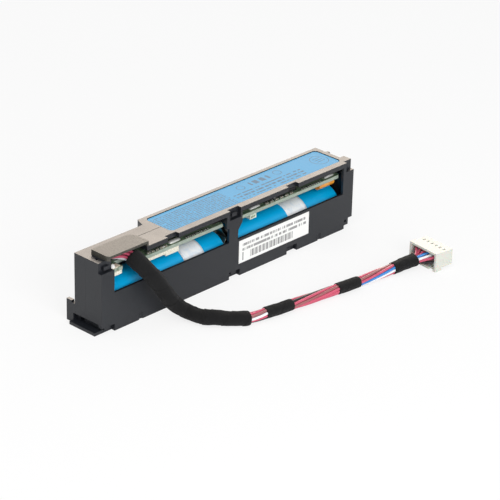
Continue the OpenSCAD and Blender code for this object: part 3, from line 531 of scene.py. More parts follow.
def bars(tree, value, period, share):
    """1 on each bar of a row of equal bars, where share of each period is a bar."""
    turn = put(tree, "ShaderNodeMath", {0: value, 1: period}, operation="FLOORED_MODULO")
    return put(tree, "ShaderNodeMath", {0: turn.outputs[0], 1: period * share},
               operation="LESS_THAN").outputs[0]


def times(tree, *values):
    out = values[0]
    for value in values[1:]:
        out = put(tree, "ShaderNodeMath", {0: out, 1: value}, operation="MULTIPLY").outputs[0]
    return out


def either(tree, *values):
    out = values[0]
    for value in values[1:]:
        out = put(tree, "ShaderNodeMath", {0: out, 1: value}, operation="MAXIMUM").outputs[0]
    return out


def housing_place(tree, coords):
    """Distances in millimetres along, across and up from the housing's left front bottom corner."""
    shifted = put(tree, "ShaderNodeMapping", {0: coords, 3: (1000, 1000, 1000),
                  1: tuple(-c / MM for c in CORNER)})
    return put(tree, "ShaderNodeSeparateXYZ", {0: shifted.outputs[0]}).outputs


def words(tree, along, across, row_gap, share, length, seed):
    """Rows of small blocks of uneven length, as print of no meaning."""
    row = put(tree, "ShaderNodeMath", {0: across, 1: row_gap}, operation="DIVIDE")
    number = put(tree, "ShaderNodeMath", {0: row.outputs[0]}, operation="FLOOR")
    lines = bars(tree, across, row_gap, share)
    place = put(tree, "ShaderNodeCombineXYZ", {0: along, 1: number.outputs[0], 2: seed})
    stretched = put(tree, "ShaderNodeMapping", {0: place.outputs[0], 3: (1 / length, 7.3, 1)})
    spread = put(tree, "ShaderNodeTexNoise", {"Vector": stretched.outputs[0], "Scale": 1,
                                              "Detail": 1})
    ink = put(tree, "ShaderNodeMath", {0: spread.outputs[0], 1: 0.45}, operation="GREATER_THAN")
    return times(tree, lines, ink.outputs[0])


def ring(tree, x, y, centre, radius, line):
    """1 on a thin circle."""
    place = put(tree, "ShaderNodeCombineXYZ", {0: x, 1: y})
    away = put(tree, "ShaderNodeVectorMath", {0: place.outputs[0], 1: (*centre, 0)},
               operation="DISTANCE")
    return in_span(tree, away.outputs["Value"], radius - line, radius)


def printed_blue(name, colour):
    # satin polyester label in sky blue: fine dark rows, small blocks and rings as generic print
    mat, tree, shader, coords = start_material(name, IOR=1.5, Roughness=0.55,
                                               Specular_IOR_Level=0.2)
    x, y, _ = housing_place(tree, coords)
    small = times(tree, in_span(tree, x, 42, 84), in_span(tree, y, 4, 17.2),
                  words(tree, x, y, 1.25, 0.45, 0.55, 3))
    large = times(tree, in_span(tree, x, 86, 128), in_span(tree, y, 5.2, 10.4),
                  words(tree, x, y, 2.4, 0.5, 1.5, 8))
    marks = either(tree, ring(tree, x, y, (94.5, 14.2), 2.1, 0.32),
                   ring(tree, x, y, (117.7, 14.6), 2.1, 0.32),
                   ring(tree, x, y, (141, 11), 4.4, 0.3),
                   times(tree, in_span(tree, x, 100, 112), in_span(tree, y, 12.6, 15.8),
                         bars(tree, x, 4.1, 0.62)),
                   times(tree, in_span(tree, x, 138.6, 143.4), in_span(tree, y, 8.6, 13.4),
                         bars(tree, y, 1.6, 0.25)))
    fade = put(tree, "ShaderNodeTexNoise", {"Vector": coords, "Scale": 60, "Detail": 2})
    base = (*colour, 1.0)
    pale = (*[min(1, c * 1.12 + 0.01) for c in colour], 1.0)
    ground = mix(tree, fade.outputs[0], base, pale)
    ink = either(tree, small, large, marks)
    tree.links.new(mix(tree, times(tree, ink, 0.75), ground, rgba("#123a56")),
                   shader.inputs["Base Color"])
    return mat


def printed_white(name, colour):
    # satin white label: two grey rows of blocks over a row of upright bars as generic print
    mat, tree, shader, coords = start_material(name, IOR=1.5, Roughness=0.5,
                                               Specular_IOR_Level=0.3)
    x, _, z = housing_place(tree, coords)
    lines = times(tree, in_span(tree, x, 81.5, 121.5), in_span(tree, z, 11, 15.4),
                  words(tree, x, z, 2.2, 0.55, 0.8, 2))
    code = times(tree, in_span(tree, x, 86.5, 113), in_span(tree, z, 6.9, 10.1),
                 either(tree, bars(tree, x, 0.9, 0.45), bars(tree, x, 2.3, 0.4)))
    left = times(tree, in_span(tree, x, 81.6, 82.3), in_span(tree, z, 6.6, 10.4))
    ink = either(tree, lines, code, left)
    tree.links.new(mix(tree, times(tree, ink, 0.7), (*colour, 1.0), rgba("#4b4b4d")),
                   shader.inputs["Base Color"])
    return mat


# ------------------------------------------------------------------ operators

class PACK_OT_camera(bpy.types.Operator):
    """Places the camera at a low three-quarter view of the front and the left end"""
    bl_idname = "pack.camera"
    bl_label = "Camera"

    def execute(self, context):
        yaw, pitch, roll = -0.81694034, 0.452854058, 0.0246612582
        ahead = Vector((-math.sin(yaw) * math.cos(pitch), math.cos(yaw) * math.cos(pitch),
                        -math.sin(pitch)))
        right = Vector((math.cos(yaw), math.sin(yaw), 0))
        up = right.cross(ahead)
        r = right * math.cos(roll) + up * math.sin(roll)
        u = up * math.cos(roll) - right * math.sin(roll)
        lens = bpy.data.cameras.new("camera")
        lens.lens = 166.4352
        lens.sensor_width = 36
        lens.clip_start = 0.01
        camera = bpy.data.objects.new("camera", lens)
        place = Matrix((r, u, -ahead)).transposed().to_4x4()
        place.translation = Vector((-0.63541, -0.6177, 0.44158))
        camera.matrix_world = place
        context.scene.collection.objects.link(camera)
        context.scene.camera = camera
        return {"FINISHED"}


def wire_materials():
    s = bpy.context.scene.battery_lead
    wanted = {"red": (s.red, 0.36), "blue": (s.blue, 0.36), "white": (s.white, 0.4),
              "black": (s.black, 0.4), "rose": (s.rose, 0.4)}
    out = {}
    for name, (colour, rough) in wanted.items():
        title = "pvc_insulation_" + name
        out[name] = bpy.data.materials.get(title) or wire_insulation(title, tuple(colour), rough)
    return out


def wire_slot(name):
    return "wire_red" if name == "rose" else "wire_" + name


def bundle_path():
    path = smooth_path(ROUTE, 1.1 * MM)
    return path, path_frames(path), lengths(path)


def run_at(run, path, node_index):
    """Distance along the path nearest to a route point."""
    goal = ROUTE[node_index]
    return run[min(range(len(path)), key=lambda i: (path[i] - goal).length)]


class PACK_OT_lead_wires(bpy.types.Operator):
    """Lays the twelve wires from the housing to the plug, with a slow twist"""
    bl_idname = "pack.lead_wires"
    bl_label = "Lead wires"

    def execute(self, context):
        s = context.scene.battery_lead
        path, frames, run = bundle_path()
        radius = s.wire_diameter / 2
        pitch = s.wire_diameter * BUNDLE_PITCH
        mats = wire_materials()
        names = ["red", "rose", "black", "blue", "white"]
        sheath = [bmesh.new() for _ in names]
        wraps = [(run_at(run, path, a), run_at(run, path, b)) for a, b in
                 ((RUN_1_END, WRAP_1_END), (RUN_2_END, WRAP_2_END), (RUN_3_END, len(ROUTE) - 1))]
        for w in range(2 * WAYS):
            slot = FAN_SLOTS[w]
            centre = []
            for i, (p, (head, side, up)) in enumerate(zip(path, frames)):
                turn = 2 * math.pi * (run[i] - run[-1]) / s.lay_length + math.radians(RUN_TURNS[0])
                q = in_bundle(RUN_SLOTS[0][w], pitch)
                for number, (low, high) in enumerate(wraps):
                    f = min(1.0, max(0.0, (run[i] - low) / (high - low)))
                    f = f * f * (3 - 2 * f)
                    q = q.lerp(in_bundle(RUN_SLOTS[number + 1][w], pitch), f)
                    turn += f * math.radians(RUN_TURNS[number + 1] - RUN_TURNS[number])
                # each wire wanders a little, out of step with the others
                sway = 0.12 * MM * math.sin(run[i] / (8.5 * MM) + slot * 1.7)
                x = q.x * math.cos(turn) - q.y * math.sin(turn)
                y = q.x * math.sin(turn) + q.y * math.cos(turn)
                out = Vector((x, y)).normalized() * sway
                centre.append(p + side * (x + out.x) + up * (y + out.y))
            sweep(sheath[names.index(WIRE_COLOURS[w])], centre, lambda i, a: radius, 10)
        replaced = {"red": ("wire_run_1", "wire_run_2", "wire_run_3")}
        for name, bm in zip(names, sheath):
            new_piece("lead_wires_" + name, mesh_from(bm, "lead_wires_" + name),
                      wire_slot(name), *replaced.get(name, ()), material=mats[name])
        return {"FINISHED"}


class PACK_OT_lead_ends(bpy.types.Operator):
    """Fans the wires out into the plug and joins them to the board"""
    bl_idname = "pack.lead_ends"
    bl_label = "Lead ends"

    def execute(self, context):
        s = context.scene.battery_lead
        path, frames, run = bundle_path()
        radius = s.wire_diameter / 2
        mats = wire_materials()
        names = ["red", "black", "blue", "white"]
        fans = {n: bmesh.new() for n in names + ["rose"]}
        tails = {n: bmesh.new() for n in names}
        along = Vector((math.cos(PLUG_TURN), -math.sin(PLUG_TURN), 0))
        across = Vector((math.sin(PLUG_TURN), math.cos(PLUG_TURN), 0))
        head, side, up = frames[-1]
        for w in range(2 * WAYS):
            k, row = w % WAYS, 1 if w < WAYS else 0
            q = in_bundle(FAN_SLOTS[w], s.wire_diameter * BUNDLE_PITCH)
            a = path[-1] + side * q.x + up * q.y - head * 0.4 * MM
            b = (PLUG_AT + along * (COLLAR + 0.5 * MM) + across * ((WAYS - 1) / 2 - k) * PITCH
                 + Vector((0, 0, ROW_Z[row])))
            centre = hermite(a, head * 7 * MM, b, along * 6 * MM, 0.45 * MM)
            sweep(fans[WIRE_COLOURS[w]], centre, lambda i, ang: radius, 12)
        head, side, up = frames[0]
        low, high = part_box("lead_anchor")
        for w in range(2 * WAYS):
            k, row = w % TAIL_WAYS, w // TAIL_WAYS
            a = (Vector((low[0] + k * TAIL_PITCH, low[1] + row * TAIL_ROW_Y,
                         BOARD_HIGH[2] + row * TAIL_ROW_Z)) + TAIL_FIRST)
            q = in_bundle(TAIL_SLOTS[w], s.sleeve_start / 4.2)
            tight = in_bundle(TAIL_SLOTS[w], s.wire_diameter)
            b = path[0] + side * q.x * 0.82 + up * q.y * 0.82
            c = path[4] + side * tight.x * 1.15 + up * tight.y * 1.15
            reach = (b - a).length
            centre = hermite(a, Vector((0.3, -1, 0.25)) * reach * 0.7, b, head * reach * 0.8,
                             0.7 * MM)
            centre += hermite(b, head * 2 * MM, c, head * 2 * MM, 0.7 * MM)[1:]
            sweep(tails[TAIL_COLOURS[w]], centre, lambda i, ang: radius, 12)
        new_piece("plug_wires_rose", mesh_from(fans["rose"], "plug_wires_rose"), "wire_red",
                  material=mats["rose"])
        for n in names:
            word = "wires" if n in ("red", "black") else "wire"
            new_piece("plug_wires_" + n, mesh_from(fans[n], "plug_wires_" + n), "wire_" + n,
                      f"fan_{word}_{n}", material=mats[n])
            new_piece("board_wires_" + n, mesh_from(tails[n], "board_wires_" + n), "wire_" + n,
                      f"tail_{word}_{n}", material=mats[n])
        return {"FINISHED"}


def hermite(a, ta, b, tb, step):
    """Points on a curve from a to b that leaves along ta and arrives along tb."""
    fine = []
    for i in range(41):
        t = i / 40
        fine.append(a * (2 * t ** 3 - 3 * t * t + 1) + ta * (t ** 3 - 2 * t * t + t)
                    + b * (3 * t * t - 2 * t ** 3) + tb * (t ** 3 - t * t))
    return resample(fine, step)


class PACK_OT_cloth(bpy.types.Operator):
    """Winds the cloth sleeve and the three tape wraps on the lead"""
    bl_idname = "pack.cloth"
    bl_label = "Cloth tape"

    def execute(self, context):
        s = context.scene.battery_lead
        cloth = cloth_tape("woven_polyester_tape", tuple(s.cloth))
        path, frames, run = bundle_path()
        spans = (("cloth_sleeve", 0, SLEEVE_END, "cable_sleeve"),
                 ("tape_wrap_1", RUN_1_END, WRAP_1_END, "wrap_1"),
                 ("tape_wrap_2", RUN_2_END, WRAP_2_END, "wrap_2"),
                 ("tape_wrap_3", RUN_3_END, len(ROUTE) - 1, "wrap_3"))
        for number, (name, first, last, node) in enumerate(spans):
            s0, s1 = run_at(run, path, first), run_at(run, path, last)
            whole = smooth_path(ROUTE, 0.25 * MM)
            ends = lengths(whole)
            keep = [i for i, d in enumerate(ends) if s0 - 1e-9 <= d <= s1 + 1e-9]
            part = [whole[i] for i in keep]
            dist = [ends[i] - s0 for i in keep]
            span = dist[-1]

            def radius(i, a, dist=dist, span=span, number=number):
                d, t = dist[i], dist[i] / span
                around = Vector((math.cos(a), math.sin(a), 0))
                if number == 0:
                    base = (s.sleeve_start
                            + (s.sleeve_end - s.sleeve_start) * min(1, t * 1.15)) / 2
                    # tape laid with a lap: its edge climbs round the sleeve in a long spiral
                    lap = (d / (8.5 * MM) - a / (2 * math.pi)) % 1.0
                    step = 0.2 * MM * max(0.0, 1 - lap * 1.4)
                    crease = 0.16 * MM * noise.noise(around * 1.3 + Vector((0, 0, d * 330)))
                    crease += 0.22 * MM * noise.noise(around + Vector((0, 0, d * 110 + 7)))
                    # a second length of tape starts over the first with a step
                    if t > 0.69:
                        base += 0.3 * MM
                    # and a ridge runs along the first, where its edges meet
                    ridge = max(0.0, 1 - abs(math.sin((a - 2.2) / 2)) / 0.16)
                    crease += 0.35 * MM * ridge * max(0.0, 1 - abs(t - 0.42) / 0.28)
                else:
                    base = s.wrap_diameter / 2
                    if number == 3:
                        # the last wrap spreads towards the fan of wires
                        base *= 1.05 + 0.22 * t * abs(math.cos(a)) ** 1.5
                    lap = (d / (11 * MM) - a / (2 * math.pi) + number * 0.3) % 1.0
                    step = 0.12 * MM * max(0.0, 1 - lap * 1.6)
                    crease = 0.14 * MM * noise.noise(
                        around * 1.5 + Vector((number * 9, 0, d * 420)))
                edge = min(d, span - d)
                lip = 1 - 0.05 * max(0.0, 1 - edge / (0.7 * MM)) ** 2
                return (base + step + crease) * lip - 0.12 * MM

            bm = bmesh.new()
            sweep(bm, part, radius, 56, frames=path_frames(part))
            # the underside flattens where the tape rests on the surface
            for v in bm.verts:
                v.co.z = max(v.co.z, 0.05 * MM)
            new_piece(name, mesh_from(bm, name), "cloth_tape", node, material=cloth)
        return {"FINISHED"}


class PACK_OT_plug(bpy.types.Operator):
    bl_idname = "pack.plug"
    bl_label = "Plug"

    def execute(self, context):
        s = context.scene.battery_lead
        nylon = natural_nylon("natural_nylon", tuple(s.plug))
        dress("plug_body", "plug_housing", "plug", nylon, 0.15 * MM)
        finish_node("plug_terminals", tinned_brass("tinned_brass"))
        path, _, run = bundle_path()
        on_it = ["cloth_sleeve", "tape_wrap_1", "tape_wrap_2", "tape_wrap_3", "plug_body",
                 "plug_terminals"]
        on_it += ["lead_wires_" + n for n in ("rose", "black", "blue", "white")]
        on_it += ["plug_wires_rose"]
        on_it += [p + n for p in ("plug_wires_", "board_wires_")
                  for n in ("red", "black", "blue", "white")]
        return {"FINISHED"}


class PACK_OT_housing(bpy.types.Operator):
    """Finishes the two halves of the housing and the wire cover"""
    bl_idname = "pack.housing"
    bl_label = "Housing"

    def execute(self, context):
        s = context.scene.battery_housing
        black = moulded_abs("moulded_black_abs", tuple(s.plastic))
        dress("housing_front", "front_shell", "housing", black, s.edge_radius)
        dress("housing_rear", "rear_shell", "housing", black, s.edge_radius)
        # a thin dark strip along the joint between the halves, from the wire cover to the top
        # label: painted shade standing in for the shadow in the fine seam groove
        joint_from, joint_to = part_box("cable_cover")[1][0] - 1 * MM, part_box("top_label")[0][0]
        joint_y = SHELL_HIGH[1]
        bm = bmesh.new()
        add_box(bm, Vector((joint_from, joint_y - 0.11 * MM, TOP - 0.048 * MM)),
                Vector((joint_to, joint_y + 0.11 * MM, TOP + 0.012 * MM)))
        new_piece("joint_of_halves", mesh_from(bm, "joint_of_halves"), "housing",
                  material=plain_finish("joint_shadow", "#0c0c0d", "#131314", 900, 0.9,
                                        Specular_IOR_Level=0.1))
        cover = textured_abs("textured_cover_abs", tuple(s.cover))
        dress("wire_cover", "cable_cover", "cover", cover, 0.2 * MM)
        return {"FINISHED"}


class PACK_OT_labels(bpy.types.Operator):
    """Finishes the two labels with plain generic print"""
    bl_idname = "pack.labels"
    bl_label = "Labels"

    def execute(self, context):
        s = context.scene.battery_housing
        dress("label_on_top", "top_label", "label_blue",
              printed_blue("sky_blue_label", tuple(s.top_label)), 0.04 * MM, 1)
        dress("label_on_front", "side_label", "label_white",
              printed_white("white_label", tuple(s.side_label)), 0.0)
        return {"FINISHED"}


class PACK_OT_cells(bpy.types.Operator):
    """Finishes the two cells with their film, end rings and tape"""
    bl_idname = "pack.cells"
    bl_label = "Cells"

    def execute(self, context):
        s = context.scene.battery_inside
        steel = drawn_steel("nickel_plated_steel")
        film = shrink_film("shrunk_blue_film", tuple(s.cell))
        paper = plain_finish("insulating_paper", "#dcdcd4", "#efefe8", 900, 0.75)
        pale = adhesive_tape("pale_polyester_tape", tuple(s.tape))
        for side in ("left", "right"):
            finish_node("cell_" + side, steel)
            finish_node("end_ring_" + side, paper)
            low, high = (Vector(c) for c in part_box("cell_sleeve_" + side))
            axis = (low + high) / 2
            r = (high.z - low.z) / 2
            t = 0.15 * MM
            x0, x1 = low.x, high.x
            profile = [(r - t, x0 + 1.2 * MM), (r - 0.55 * MM, x0 + 0.14 * MM),
                       (r - 0.9 * MM, x0 + 0.1 * MM), (r - 0.8 * MM, x0),
                       (r - 0.45 * MM, x0 + 0.02 * MM),
                       (r - 0.14 * MM, x0 + 0.35 * MM), (r, x0 + 0.9 * MM),
                       (r, x0 + 3.2 * MM), (r - 0.18 * MM, x0 + 3.9 * MM), (r, x0 + 4.6 * MM),
                       (r, x1 - 0.8 * MM), (r - 0.12 * MM, x1 - 0.3 * MM), (r - 0.5 * MM, x1),
                       (r - 1.6 * MM, x1), (r - 1.6 * MM, x1 - t), (r - 0.6 * MM, x1 - t),
                       (r - t, x1 - 0.7 * MM)]
            bm = turned(profile)
            bmesh.ops.translate(bm, verts=bm.verts, vec=Vector((0, axis.y, axis.z)))
            new_piece("cell_film_" + side, mesh_from(bm, "cell_film_" + side), "cell_sleeve",
                      "cell_sleeve_" + side, material=film, smooth=True)
            low, high = (Vector(c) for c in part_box("tape_" + side))
            r = (high.z - low.z) / 2
            bm = bmesh.new()
            rows, sides = 12, 96
            skew = 0.0010 if side == "left" else 0.0004
            grid = []
            for i in range(rows + 1):
                ring_verts = []
                for k in range(sides):
                    a = 2 * math.pi * k / sides
                    x = low.x + (high.x - low.x) * i / rows
                    if i == 0:
                        x += skew * (1 + math.sin(a))
                    rr = r - 0.00002 + 0.00002 * noise.noise(Vector((x * 300, math.cos(a) * 3,
                                                                       math.sin(a) * 3)))
                    ring_verts.append(bm.verts.new((x, axis.y + rr * math.cos(a),
                                                    axis.z + rr * math.sin(a))))
                grid.append(ring_verts)
            for i in range(rows):
                for k in range(sides):
                    n = (k + 1) % sides
                    bm.faces.new((grid[i][k], grid[i][n], grid[i + 1][n], grid[i + 1][k]))
            bmesh.ops.recalc_face_normals(bm, faces=bm.faces)
            band = new_piece("tape_band_" + side, mesh_from(bm, "tape_band_" + side), "tape",
                             "tape_" + side, material=pale, smooth=True)
            wall = band.modifiers.new("Thickness", "SOLIDIFY")
            wall.thickness = 0.08 * MM
            wall.offset = -1
        return {"FINISHED"}


class PACK_OT_straps(bpy.types.Operator):
    """Finishes the nickel straps between cells and board"""
    bl_idname = "pack.straps"
    bl_label = "Straps"

    def execute(self, context):
        nickel = rolled_nickel("rolled_nickel_strip")
        for node in ("strap_left_end", "strap_mid_left", "strap_mid_right", "strap_right_end"):
            dress("nickel_" + node, node, "strap", nickel, 0.05 * MM, 1)
        return {"FINISHED"}


def row_tree():
    """Node tree that sets copies of a small block along a line."""
    tree = bpy.data.node_groups.new("row_of_blocks", "GeometryNodeTree")
    face = tree.interface
    face.new_socket("Geometry", in_out="INPUT", socket_type="NodeSocketGeometry")
    face.new_socket("Count", in_out="INPUT", socket_type="NodeSocketInt")
    face.new_socket("Start", in_out="INPUT", socket_type="NodeSocketVector")
    face.new_socket("Step", in_out="INPUT", socket_type="NodeSocketVector")
    face.new_socket("Block", in_out="INPUT", socket_type="NodeSocketObject")
    face.new_socket("Turn", in_out="INPUT", socket_type="NodeSocketFloat")
    face.new_socket("Finish", in_out="INPUT", socket_type="NodeSocketMaterial")
    face.new_socket("Geometry", in_out="OUTPUT", socket_type="NodeSocketGeometry")
    given = put(tree, "NodeGroupInput").outputs
    line = put(tree, "GeometryNodeMeshLine", {"Count": given["Count"], "Start Location":
               given["Start"], "Offset": given["Step"]}, mode="OFFSET")
    part = put(tree, "GeometryNodeObjectInfo", {"Object": given["Block"]})
    low = put(tree, "ShaderNodeMath", {0: given["Turn"], 1: -1.0}, operation="MULTIPLY")
    spin = put(tree, "FunctionNodeRandomValue", {2: low.outputs[0], 3: given["Turn"], "Seed": 5})
    turn = put(tree, "ShaderNodeCombineXYZ", {"Z": spin.outputs[1]})
    copies = put(tree, "GeometryNodeInstanceOnPoints", {"Points": line.outputs[0],
                 "Instance": part.outputs["Geometry"], "Rotation": turn.outputs[0]})
    real = put(tree, "GeometryNodeRealizeInstances", {0: copies.outputs[0]})
    done = put(tree, "GeometryNodeSetMaterial", {"Geometry": real.outputs[0],
               "Material": given["Finish"]})
    put(tree, "NodeGroupOutput", {0: done.outputs[0]})
    return tree


def block(name, size, radius):
    """A small block with rounded edges, standing on z = 0, kept out of the scene."""
    bm = bmesh.new()
    bmesh.ops.create_cube(bm, size=1.0)
    for v in bm.verts:
        v.co = Vector((v.co.x * size[0], v.co.y * size[1], (v.co.z + 0.5) * size[2]))
    if radius > 0:
        bmesh.ops.bevel(bm, geom=list(bm.edges), offset=radius, segments=1, affect="EDGES")
    return bpy.data.objects.new(name, mesh_from(bm, name))


def rows(name, slot, nodes, material, sets, turn=0.0):
    """Runs the row tree for each (block, count, start, step) and joins the results in one piece."""
    tree = bpy.data.node_groups.get("row_of_blocks") or row_tree()
    ids = {i.name: i.identifier for i in tree.interface.items_tree
           if i.item_type == "SOCKET" and i.in_out == "INPUT"}
    joined = bmesh.new()
    for part, count, start, step in sets:
        holder = bpy.data.objects.new("holder", bpy.data.meshes.new("holder"))
        bpy.context.scene.collection.objects.link(holder)
        mod = holder.modifiers.new("Row", "NODES")
        mod.node_group = tree
        for key, value in (("Count", count), ("Start", start), ("Step", step), ("Block", part),
                           ("Turn", turn), ("Finish", material)):
            mod[ids[key]] = value
        graph = bpy.context.evaluated_depsgraph_get()
        made = bpy.data.meshes.new_from_object(holder.evaluated_get(graph), depsgraph=graph)
        joined.from_mesh(made)
        bpy.data.meshes.remove(made)
        bpy.data.objects.remove(holder)
    return new_piece(name, mesh_from(joined, name), slot, *nodes, material=material)


class PACK_OT_board(bpy.types.Operator):
    """Finishes the circuit board with its small parts and solder"""
    bl_idname = "pack.board"
    bl_label = "Circuit board"

    def execute(self, context):
        s = context.scene.battery_inside
        top = BOARD_HIGH[2]
        at = lambda x, y, z=0.0: (CORNER.x + x * MM, CORNER.y + y * MM, top + z * MM)
        laminate = board_laminate("green_laminate", tuple(s.board))
        dress("protection_board", "circuit_board", "board", laminate, 0.06 * MM, 1)
        epoxy = plain_finish("black_epoxy", "#1c1d1e", "#2b2c2e", 1500, 0.5)
        solder = plain_finish("set_solder", "#dcddd8", "#f6f6f2", 900, 0.3, 0.5, 0.00006)
        ceramic = plain_finish("fired_ceramic", "#5d594e", "#86806f", 1200, 0.55)
        tin = plain_finish("tinned_ends", "#c4c4c0", "#dededa", 1500, 0.35, 0.9)
        for node in ("gauge_chip", "power_chips", "choke", "shunt_resistor"):
            dress("board_" + node, node, "chip", epoxy, 0.05 * MM, 1)
        body = block("capacitor_body", (1.15 * MM, 0.78 * MM, 0.76 * MM), 0.05 * MM)
        ends = block("capacitor_end", (0.36 * MM, 0.8 * MM, 0.8 * MM), 0.06 * MM)
        chip = block("resistor_body", (1.15 * MM, 0.78 * MM, 0.45 * MM), 0.04 * MM)
        pads = block("resistor_end", (0.36 * MM, 0.8 * MM, 0.5 * MM), 0.06 * MM)
        lines = row_places("capacitors", 0.8)
        ends_of = lambda part, found: [(part, n, (x + dx * MM, y, z), st)
                                       for n, (x, y, z), st in found for dx in (-0.62, 0.62)]
        rows("capacitor_bodies", "capacitor", ("capacitors",), ceramic,
             [(body, n, p, st) for n, p, st in lines])
        rows("capacitor_ends", "capacitor", (), tin, ends_of(ends, lines))
        lines = row_places("resistors", 0.5)
        rows("resistor_bodies", "chip", ("resistors",), epoxy,
             [(chip, n, p, st) for n, p, st in lines])
        rows("resistor_ends", "capacitor", (), tin, ends_of(pads, lines))
        # solder: long mounds on the tab slots and round dots by the pads
        bm = bmesh.new()
        for x, y, lx, ly, h in ((44.9, 4.3, 3.3, 1.2, 1.0), (92.97, 4.3, 3.3, 0.9, 0.9),
                                (140.1, 4.3, 3.2, 0.8, 0.8), (31.0, 3.8, 0.8, 0.8, 0.6),
                                (37.0, 3.6, 0.8, 0.8, 0.6), (105.5, 4.6, 0.8, 0.8, 0.6)):
            ring_count, sides = 7, 20
            rings = []
            for i in range(ring_count):
                f = i / (ring_count - 1)
                ring = []
                for k in range(sides):
                    a = 2 * math.pi * k / sides
                    wob = 1 + 0.10 * noise.noise(Vector((x + math.cos(a), y + math.sin(a), f)))
                    k1 = math.cos(f * math.pi / 2) * wob
                    ring.append(bm.verts.new(Vector(at(x, y)) + Vector((
                        lx * MM * k1 * math.copysign(abs(math.cos(a)) ** 0.6, math.cos(a)),
                        ly * MM * k1 * math.copysign(abs(math.sin(a)) ** 0.6, math.sin(a)),
                        (h * math.sin(f * math.pi / 2) - 0.05) * MM))))
                rings.append(ring)
            for i in range(ring_count - 1):
                for k in range(sides):
                    n = (k + 1) % sides
                    bm.faces.new((rings[i][k], rings[i][n], rings[i + 1][n], rings[i + 1][k]))
            bm.faces.new(list(reversed(rings[0])))
            bm.faces.new(rings[-1])
        bmesh.ops.remove_doubles(bm, verts=bm.verts, dist=1e-6)
        bmesh.ops.recalc_face_normals(bm, faces=bm.faces)
        new_piece("solder_mounds", mesh_from(bm, "solder_mounds"), "solder", "solder_joints",
                  material=solder, smooth=True)
        return {"FINISHED"}


def row_places(node, height):
    """The parts of a CAD node as rows: (count, first place on the board, step)."""
    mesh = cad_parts[node].data
    bm = bmesh.new()
    bm.from_mesh(mesh)
    bmesh.ops.remove_doubles(bm, verts=bm.verts, dist=2e-6)
    left, middles = set(bm.verts), []
    while left:
        stack, seen = [left.pop()], []
        while stack:
            v = stack.pop()
            seen.append(v.co.copy())
            for e in v.link_edges:
                other = e.other_vert(v)
                if other in left:
                    left.remove(other)
                    stack.append(other)
        xs, ys = [c.x for c in seen], [c.y for c in seen]
        middles.append(((min(xs) + max(xs)) / 2, (min(ys) + max(ys)) / 2))
    bm.free()
    middles.sort()
    out, i = [], 0
    while i < len(middles):
        j = i + 1
        step = middles[j][0] - middles[i][0] if j < len(middles) else 0.0
        while j < len(middles) and abs(middles[j][0] - middles[j - 1][0] - step) < 5e-5:
            j += 1
        out.append((j - i, (*middles[i], BOARD_HIGH[2]), (step, 0.0, 0.0)))
        i = j
    return out


class PACK_OT_small_parts(bpy.types.Operator):
    """Finishes foam, socket, fuse, silicone and the lead's anchor"""
    bl_idname = "pack.small_parts"
    bl_label = "Small parts"

    def execute(self, context):
        s = context.scene.battery_inside
        foam = plain_finish("closed_cell_foam", "#cfcab6", "#e9e6da", 1800, 0.85, 0.0, 0.0002)
        dress("foam_under_board", "foam_strip", "foam", foam, 0.12 * MM)
        nylon = plain_finish("pale_socket_nylon", "#b9c2b2", "#d5dccd", 700, 0.45)
        dress("socket_under_board", "board_socket", "socket", nylon, 0.12 * MM)
        film = plain_finish("amber_polyimide", "#d57f1c", "#f0a63c", 260, 0.22, 0.0, 0.0001,
                            Coat_Weight=0.3)
        dress("fuse_in_film", "thermal_fuse", "amber_film", film, 0.0)
        rubber = plain_finish("white_silicone", "#e4e4e0", "#f4f4f2", 500, 0.5, 0.0, 0.0002)
        dress("anchor_block", "lead_anchor", "silicone", rubber, 0.3 * MM, 3)
        low, high = (Vector(c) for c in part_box("glue_bead"))
        bm = bmesh.new()
        bmesh.ops.create_icosphere(bm, subdivisions=4, radius=1.0)
        middle, size = (low + high) / 2, high - low
        slumped = 0.7
        for v in bm.verts:
            lump = 1 + 0.12 * noise.noise(v.co * 1.7)
            rise = max(0.0, (v.co.z + 0.35) / 1.35) * slumped
            v.co = Vector((middle.x + v.co.x * 0.5 * size.x * lump,
                           middle.y + v.co.y * 0.5 * size.y * lump,
                           low.z + rise * size.z * lump))
        corner = Vector((BOARD_LOW[0] + 0.2 * MM, BOARD_LOW[1] + 0.1 * MM, BOARD_HIGH[2]))
        card = plain_finish("insulating_card", "#c9bea6", "#ddd4c0", 600, 0.8)
        pad = bmesh.new()
        for a, b in (((0, 0, 0.02), (6.4, 3.4, 0.4)), ((6.4, 0.4, 0.02), (8.2, 3.0, 0.3))):
            add_box(pad, corner + Vector(a) * MM, corner + Vector(b) * MM)
        card_piece = new_piece("card_on_board", mesh_from(pad, "card_on_board"), "foam",
                               material=card)
        edge = card_piece.modifiers.new("Edge", "BEVEL")
        edge.width = 0.08 * MM
        edge.segments = 2
        new_piece("silicone_bead", mesh_from(bm, "silicone_bead"), "silicone", "glue_bead",
                  material=rubber, smooth=True)
        return {"FINISHED"}


